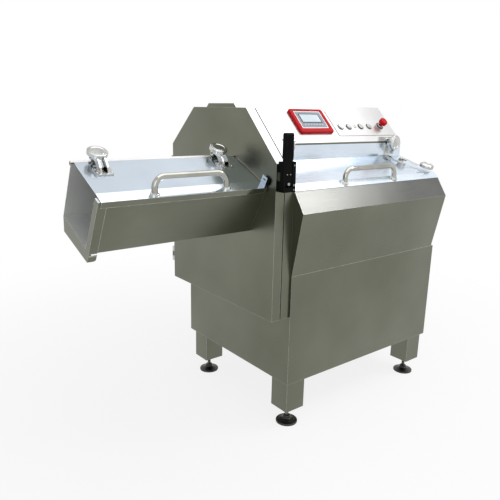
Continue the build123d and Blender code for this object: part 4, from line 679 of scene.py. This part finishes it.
def block(form, size, place, rounding):
    """Block with rounded edges whose middle is at a place."""
    stretched = place @ Matrix.Diagonal((*size, 1))
    made = bmesh.ops.create_cube(form, size=1.0, matrix=stretched)
    edges = list({edge for corner in made["verts"] for edge in corner.link_edges})
    bmesh.ops.bevel(form, geom=edges, offset=rounding * mm, offset_type="OFFSET",
                    segments=3, profile=0.5, affect="EDGES", material=-1)


def settle(form, name, body, finish_name):
    """Piece made from a form, with its finish, riding on a body."""
    bmesh.ops.remove_doubles(form, verts=form.verts, dist=merge_gap * mm)
    bmesh.ops.recalc_face_normals(form, faces=form.faces)
    mesh = bpy.data.meshes.new(name)
    form.to_mesh(mesh)
    form.free()
    mesh.polygons.foreach_set("use_smooth", [True] * len(mesh.polygons))
    mesh.set_sharp_from_angle(angle=sharp_angle)
    mesh.materials.append(finishes[finish_name])
    piece = bpy.data.objects.new(name, mesh)
    bpy.context.scene.collection.objects.link(piece)
    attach(piece, body)
    print(name, "on", body, "faces:", len(mesh.polygons))
    return piece


def screw_outline(radius):
    """Half outline of a cap screw's head with a round socket."""
    shares = [
        (0, 0), (1, 0), (1, 0.34), (0.88, 0.54), (0.66, 0.62), (0.48, 0.60), (0.44, 0.22),
        (0, 0.22),
    ]
    return [(radius * across, radius * height) for across, height in shares]


print("points in a screw's outline:", len(screw_outline(1.0)))

# %% [markdown]
# ## Screws of the latch
#
# The latch is a black block on the fixed pan with a lever that pulls forwards. Its screws
# are the only bright points on it, so they are worth making as pieces: cap screws with a
# socket, turned from one outline. The lever's own screws have to swing with the lever.

# %% Latch screws
block_front = 27
lever_front = 26
form = bmesh.new()
for x, z, radius in ((-33, 1143, 3.0), (-33, 1069, 4.2), (-33, 1052, 3.0)):
    turn(form, screw_outline(radius), at(facing_front, x, z, block_front), steps=20)
settle(form, "latch_block_screws", "machine", "ground_steel")
form = bmesh.new()
turn(form, screw_outline(5.8), at(facing_front, -60, 1074, lever_front), steps=24)
for x in (-68, -52):
    turn(form, screw_outline(2.4), at(facing_front, x, 1110, lever_front), steps=16)
settle(form, "latch_lever_screws", "latch_lever", "ground_steel")

# %% [markdown]
# ## The screen unit
#
# Inside the red frame lies a grey keypad foil with a white border, a pale display window and
# a row of keys under it. The border and the display's rim are flat rings: one face, inset,
# with the middle taken out and the rest pulled up. The keys are small rounded blocks.

# %% Keypad border, keys and display rim
def flat_ring(place, size, width, thickness, rounding=0):
    """Form of a flat rectangular ring round a place, with rounded corners if it needs them."""
    form = bmesh.new()
    made = bmesh.ops.create_grid(form, x_segments=1, y_segments=1, size=0.5,
                                 matrix=place @ Matrix.Diagonal((*size, 1, 1)))
    if rounding:
        bmesh.ops.bevel(form, geom=made["verts"], offset=rounding * mm, offset_type="OFFSET",
                        segments=5, profile=0.5, affect="VERTICES", material=-1)
    middle = form.faces[:]
    bmesh.ops.inset_region(form, faces=middle, thickness=width * mm, use_even_offset=True,
                           use_boundary=True)
    bmesh.ops.delete(form, geom=middle, context="FACES")
    raised = bmesh.ops.extrude_face_region(form, geom=form.faces[:])
    corners = [item for item in raised["geom"] if isinstance(item, bmesh.types.BMVert)]
    bmesh.ops.translate(form, vec=place.to_3x3() @ Vector((0, 0, thickness)), verts=corners)
    return form


foil_top = 10.1
border = flat_ring(at(panel, 388, 130, foil_top), (168, 104), 4.5, 0.7, rounding=5)
settle(border, "screen_border", "machine", "screen_white")

key_size = (10.5, 7, 1.8)
first_key = 334
key_spacing = 18
key_row = 99
key_middle = 10.5
key_count = 7
form = bmesh.new()
for column in range(key_count):
    place = at(panel, first_key + key_spacing * column, key_row, key_middle)
    block(form, key_size, place, rounding=0.6)
settle(form, "screen_keys", "machine", "key_blue")

rim = flat_ring(at(panel, 388, 139, foil_top), (126, 54), 4, 1.2)
settle(rim, "display_rim", "machine", "servo_black")

# %% [markdown]
# ## Rings round the buttons
#
# Each bright button sits in a bright ring, and between ring and plate lies a black ring: a
# dark part put where the button casts its shade, so the dark crescent under it is painted
# shade. The lamp has a ring of its own.

# %% Shade rings and the lamp's ring
plate_top = 2.05


def ring_outline(inner, outer, shoulder, top, edge):
    """Half outline of a ring on the button plate, with its outer top edge taken off."""
    return [
        (inner, plate_top), (outer, plate_top), (outer, shoulder), (outer - edge, top),
        (inner, top), (inner, plate_top),
    ]


button_places = ((568, 93), (626, 93), (714, 95), (777, 95))
stop_place = (866, 100)
lamp_place = (671, 94)
# Black rings round the buttons are painted shade.
form = bmesh.new()
for button_place in button_places:
    turn(form, ring_outline(14, 17.6, 3.4, 4.2, edge=1.0), at(panel, *button_place), steps=28)
turn(form, ring_outline(15, 20.5, 3.6, 4.6, edge=1.5), at(panel, *stop_place), steps=32)
settle(form, "button_shade_rings", "machine", "seal_rubber")
form = bmesh.new()
turn(form, ring_outline(5.3, 8.2, 3.6, 4.4, edge=1.0), at(panel, *lamp_place), steps=24)
settle(form, "lamp_ring", "machine", "polished_steel")

# %% [markdown]
# ## Feet of the handles
#
# Both handles are bows of round tube. Where a bow meets its sheet it stands in a stepped
# washer, which the photograph shows as two bright rings. One turned outline serves all four.

# %% Stepped washers
washer = [
    (0, 0.05), (16.4, 0.05), (16.4, 3.2), (15.4, 4.6), (14.2, 4.8), (13.8, 7.4), (12.8, 8.2),
    (0, 8.2),
]
trough_handle_line = 19
chamber_handle_line = 18
form = bmesh.new()
for x in (-566, -274):
    turn(form, washer, at(trough_strip, x, trough_handle_line), steps=36)
settle(form, "trough_handle_washers", "trough_lid", "polished_steel")
form = bmesh.new()
for x in (295, 620):
    turn(form, washer, at(lid_lip, x, chamber_handle_line), steps=36)
settle(form, "chamber_handle_washers", "chamber_lid", "polished_steel")

# %% [markdown]
# ## Screws and caps of the hinges
#
# Each cast hinge is held by four screws, and its round cap has a turned step and a shallow
# dish. The screws sit at the corners of the cast base, where a key still reaches them. Both
# lids have the same kind of hinge in two sizes, so one function makes the fittings of either.

# %% Hinge screws and cap discs
cap_disc = [(0, 0.6), (20, 0.6), (23, 1.0), (24, 1.8), (26, 1.8), (27.5, 0.05), (0, 0.05)]
hinge_screw_radius = 4.2


def hinge_fittings(place, hinges, side, rows, base, cap_row, cap_top):
    """Form of the screws at the corners of each hinge's base and of the disc on its cap."""
    form = bmesh.new()
    for x in hinges:
        for across in (-side, side):
            for row in rows:
                corner = at(place, x + across, row, base)
                turn(form, screw_outline(hinge_screw_radius), corner, steps=20)
        turn(form, cap_disc, at(place, x, cap_row, cap_top), steps=40)
    return form


fittings = hinge_fittings(trough_lid_top, hinges=(-684, -186), side=25, rows=(158, 178),
                          base=10, cap_row=232, cap_top=50)
settle(fittings, "trough_hinge_screws", "trough_lid", "polished_steel")
fittings = hinge_fittings(facing_front, hinges=(140, 860), side=29, rows=(1145, 1177),
                          base=-236, cap_row=1198, cap_top=-198)
settle(fittings, "chamber_hinge_screws", "chamber_lid", "polished_steel")

# %% [markdown]
# ## Lid lock
#
# The round knob of the lid lock is a turned casting with a raised rim, and a cap nut holds
# the lever on its boss. Both are added on top of the plain forms of the drawing.

# %% Knob disc and cap nut
knob_face = [
    (0, 0.8), (14, 0.8), (18, 1.2), (21, 2.6), (25, 2.9), (28, 1.6), (29, 0.05), (0, 0.05),
]
cap_nut = [
    (0, 9.4), (2.6, 9.2), (4.8, 8.0), (6.4, 5.6), (6.8, 3.6), (10.4, 3.4), (10.8, 2.6),
    (10.8, 0.05), (0, 0.05),
]
knob_top = 33.6
lever_top = 23.4
form = bmesh.new()
turn(form, knob_face, at(lid_top, 915, 27, knob_top), steps=40)
settle(form, "lock_knob_face", "lid_lock_lever", "polished_steel")
form = bmesh.new()
turn(form, cap_nut, at(lid_top, 845, 132, lever_top), steps=28)
settle(form, "lock_cap_nut", "chamber_lid", "polished_steel")

# %% [markdown]
# ## Levelling feet
#
# A levelling foot is a turned pad on a threaded stud. The plain form of the drawing is
# replaced by one with a rounded rim, a dished top, a collar and a real thread: a small
# triangle wound up the stud. The thread stays inside the drawn stud, so that it still runs
# through its nut.

# %% Threaded feet
pad_outline = [
    (0, 0), (45.5, 0), (47.6, 1.2), (48, 3.2), (48, 7.2), (46.8, 9.4), (44, 10.6), (41.5, 10.4),
    (38, 11.2), (24, 15.6), (19, 17.6), (16.4, 20), (16, 24), (16, 30.4), (14.6, 32), (7.1, 32),
    (7.1, 120), (0, 120),
]
thread_pitch = 2.5
thread_low = 33.5
thread_turns = 34
thread_steps = 14
thread_root = 7.0
thread_crest = 8.0
thread_flank = 1.0
foot_places = {
    "front_left": (52, 52),
    "front_right": (890, 52),
    "rear_left": (52, 671),
    "rear_right": (890, 671),
}
for place_name, foot_place in foot_places.items():
    form = bmesh.new()
    stand = at(from_corner, *foot_place)
    turn(form, pad_outline, stand, steps=48)
    earlier = set(form.verts)
    ridge = [
        form.verts.new((thread_root, 0, thread_low - thread_flank)),
        form.verts.new((thread_crest, 0, thread_low)),
        form.verts.new((thread_root, 0, thread_low + thread_flank)),
    ]
    ridge_edges = [form.edges.new((ridge[index], ridge[index - 2])) for index in range(3)]
    bmesh.ops.spin(form, geom=ridge + ridge_edges, cent=(0, 0, 0), axis=(0, 0, 1),
                   angle=2 * pi * thread_turns, dvec=(0, 0, thread_pitch / thread_steps),
                   steps=thread_turns * thread_steps, use_merge=False)
    fresh = added(form, earlier)
    rims = list({edge for corner in fresh for edge in corner.link_edges if edge.is_boundary})
    bmesh.ops.holes_fill(form, edges=rims, sides=3)
    bmesh.ops.transform(form, matrix=stand, verts=fresh)
    foot = settle(form, "threaded_foot_" + place_name, "levelling_foot_" + place_name,
                  "foot_steel")
    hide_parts("levelling_foot_" + place_name)

# %% [markdown]
# ## Screws at the back
#
# The rear panel is screwed to the frame all round, so that a fitter can take it off. It is
# held by cap screws like those of the latch.

# %% Rear panel screws
panel_back = 766
panel_screw_radius = 4.5
screw_places = [(x, z) for x in (16, 250, 485, 720, 954) for z in (232, 676)]
screw_places += [(x, z) for x in (16, 954) for z in (380, 528)]
form = bmesh.new()
for x, z in screw_places:
    turn(form, screw_outline(panel_screw_radius), at(facing_back, x, -z, panel_back), steps=20)
settle(form, "rear_panel_screws", "machine", "ground_steel")
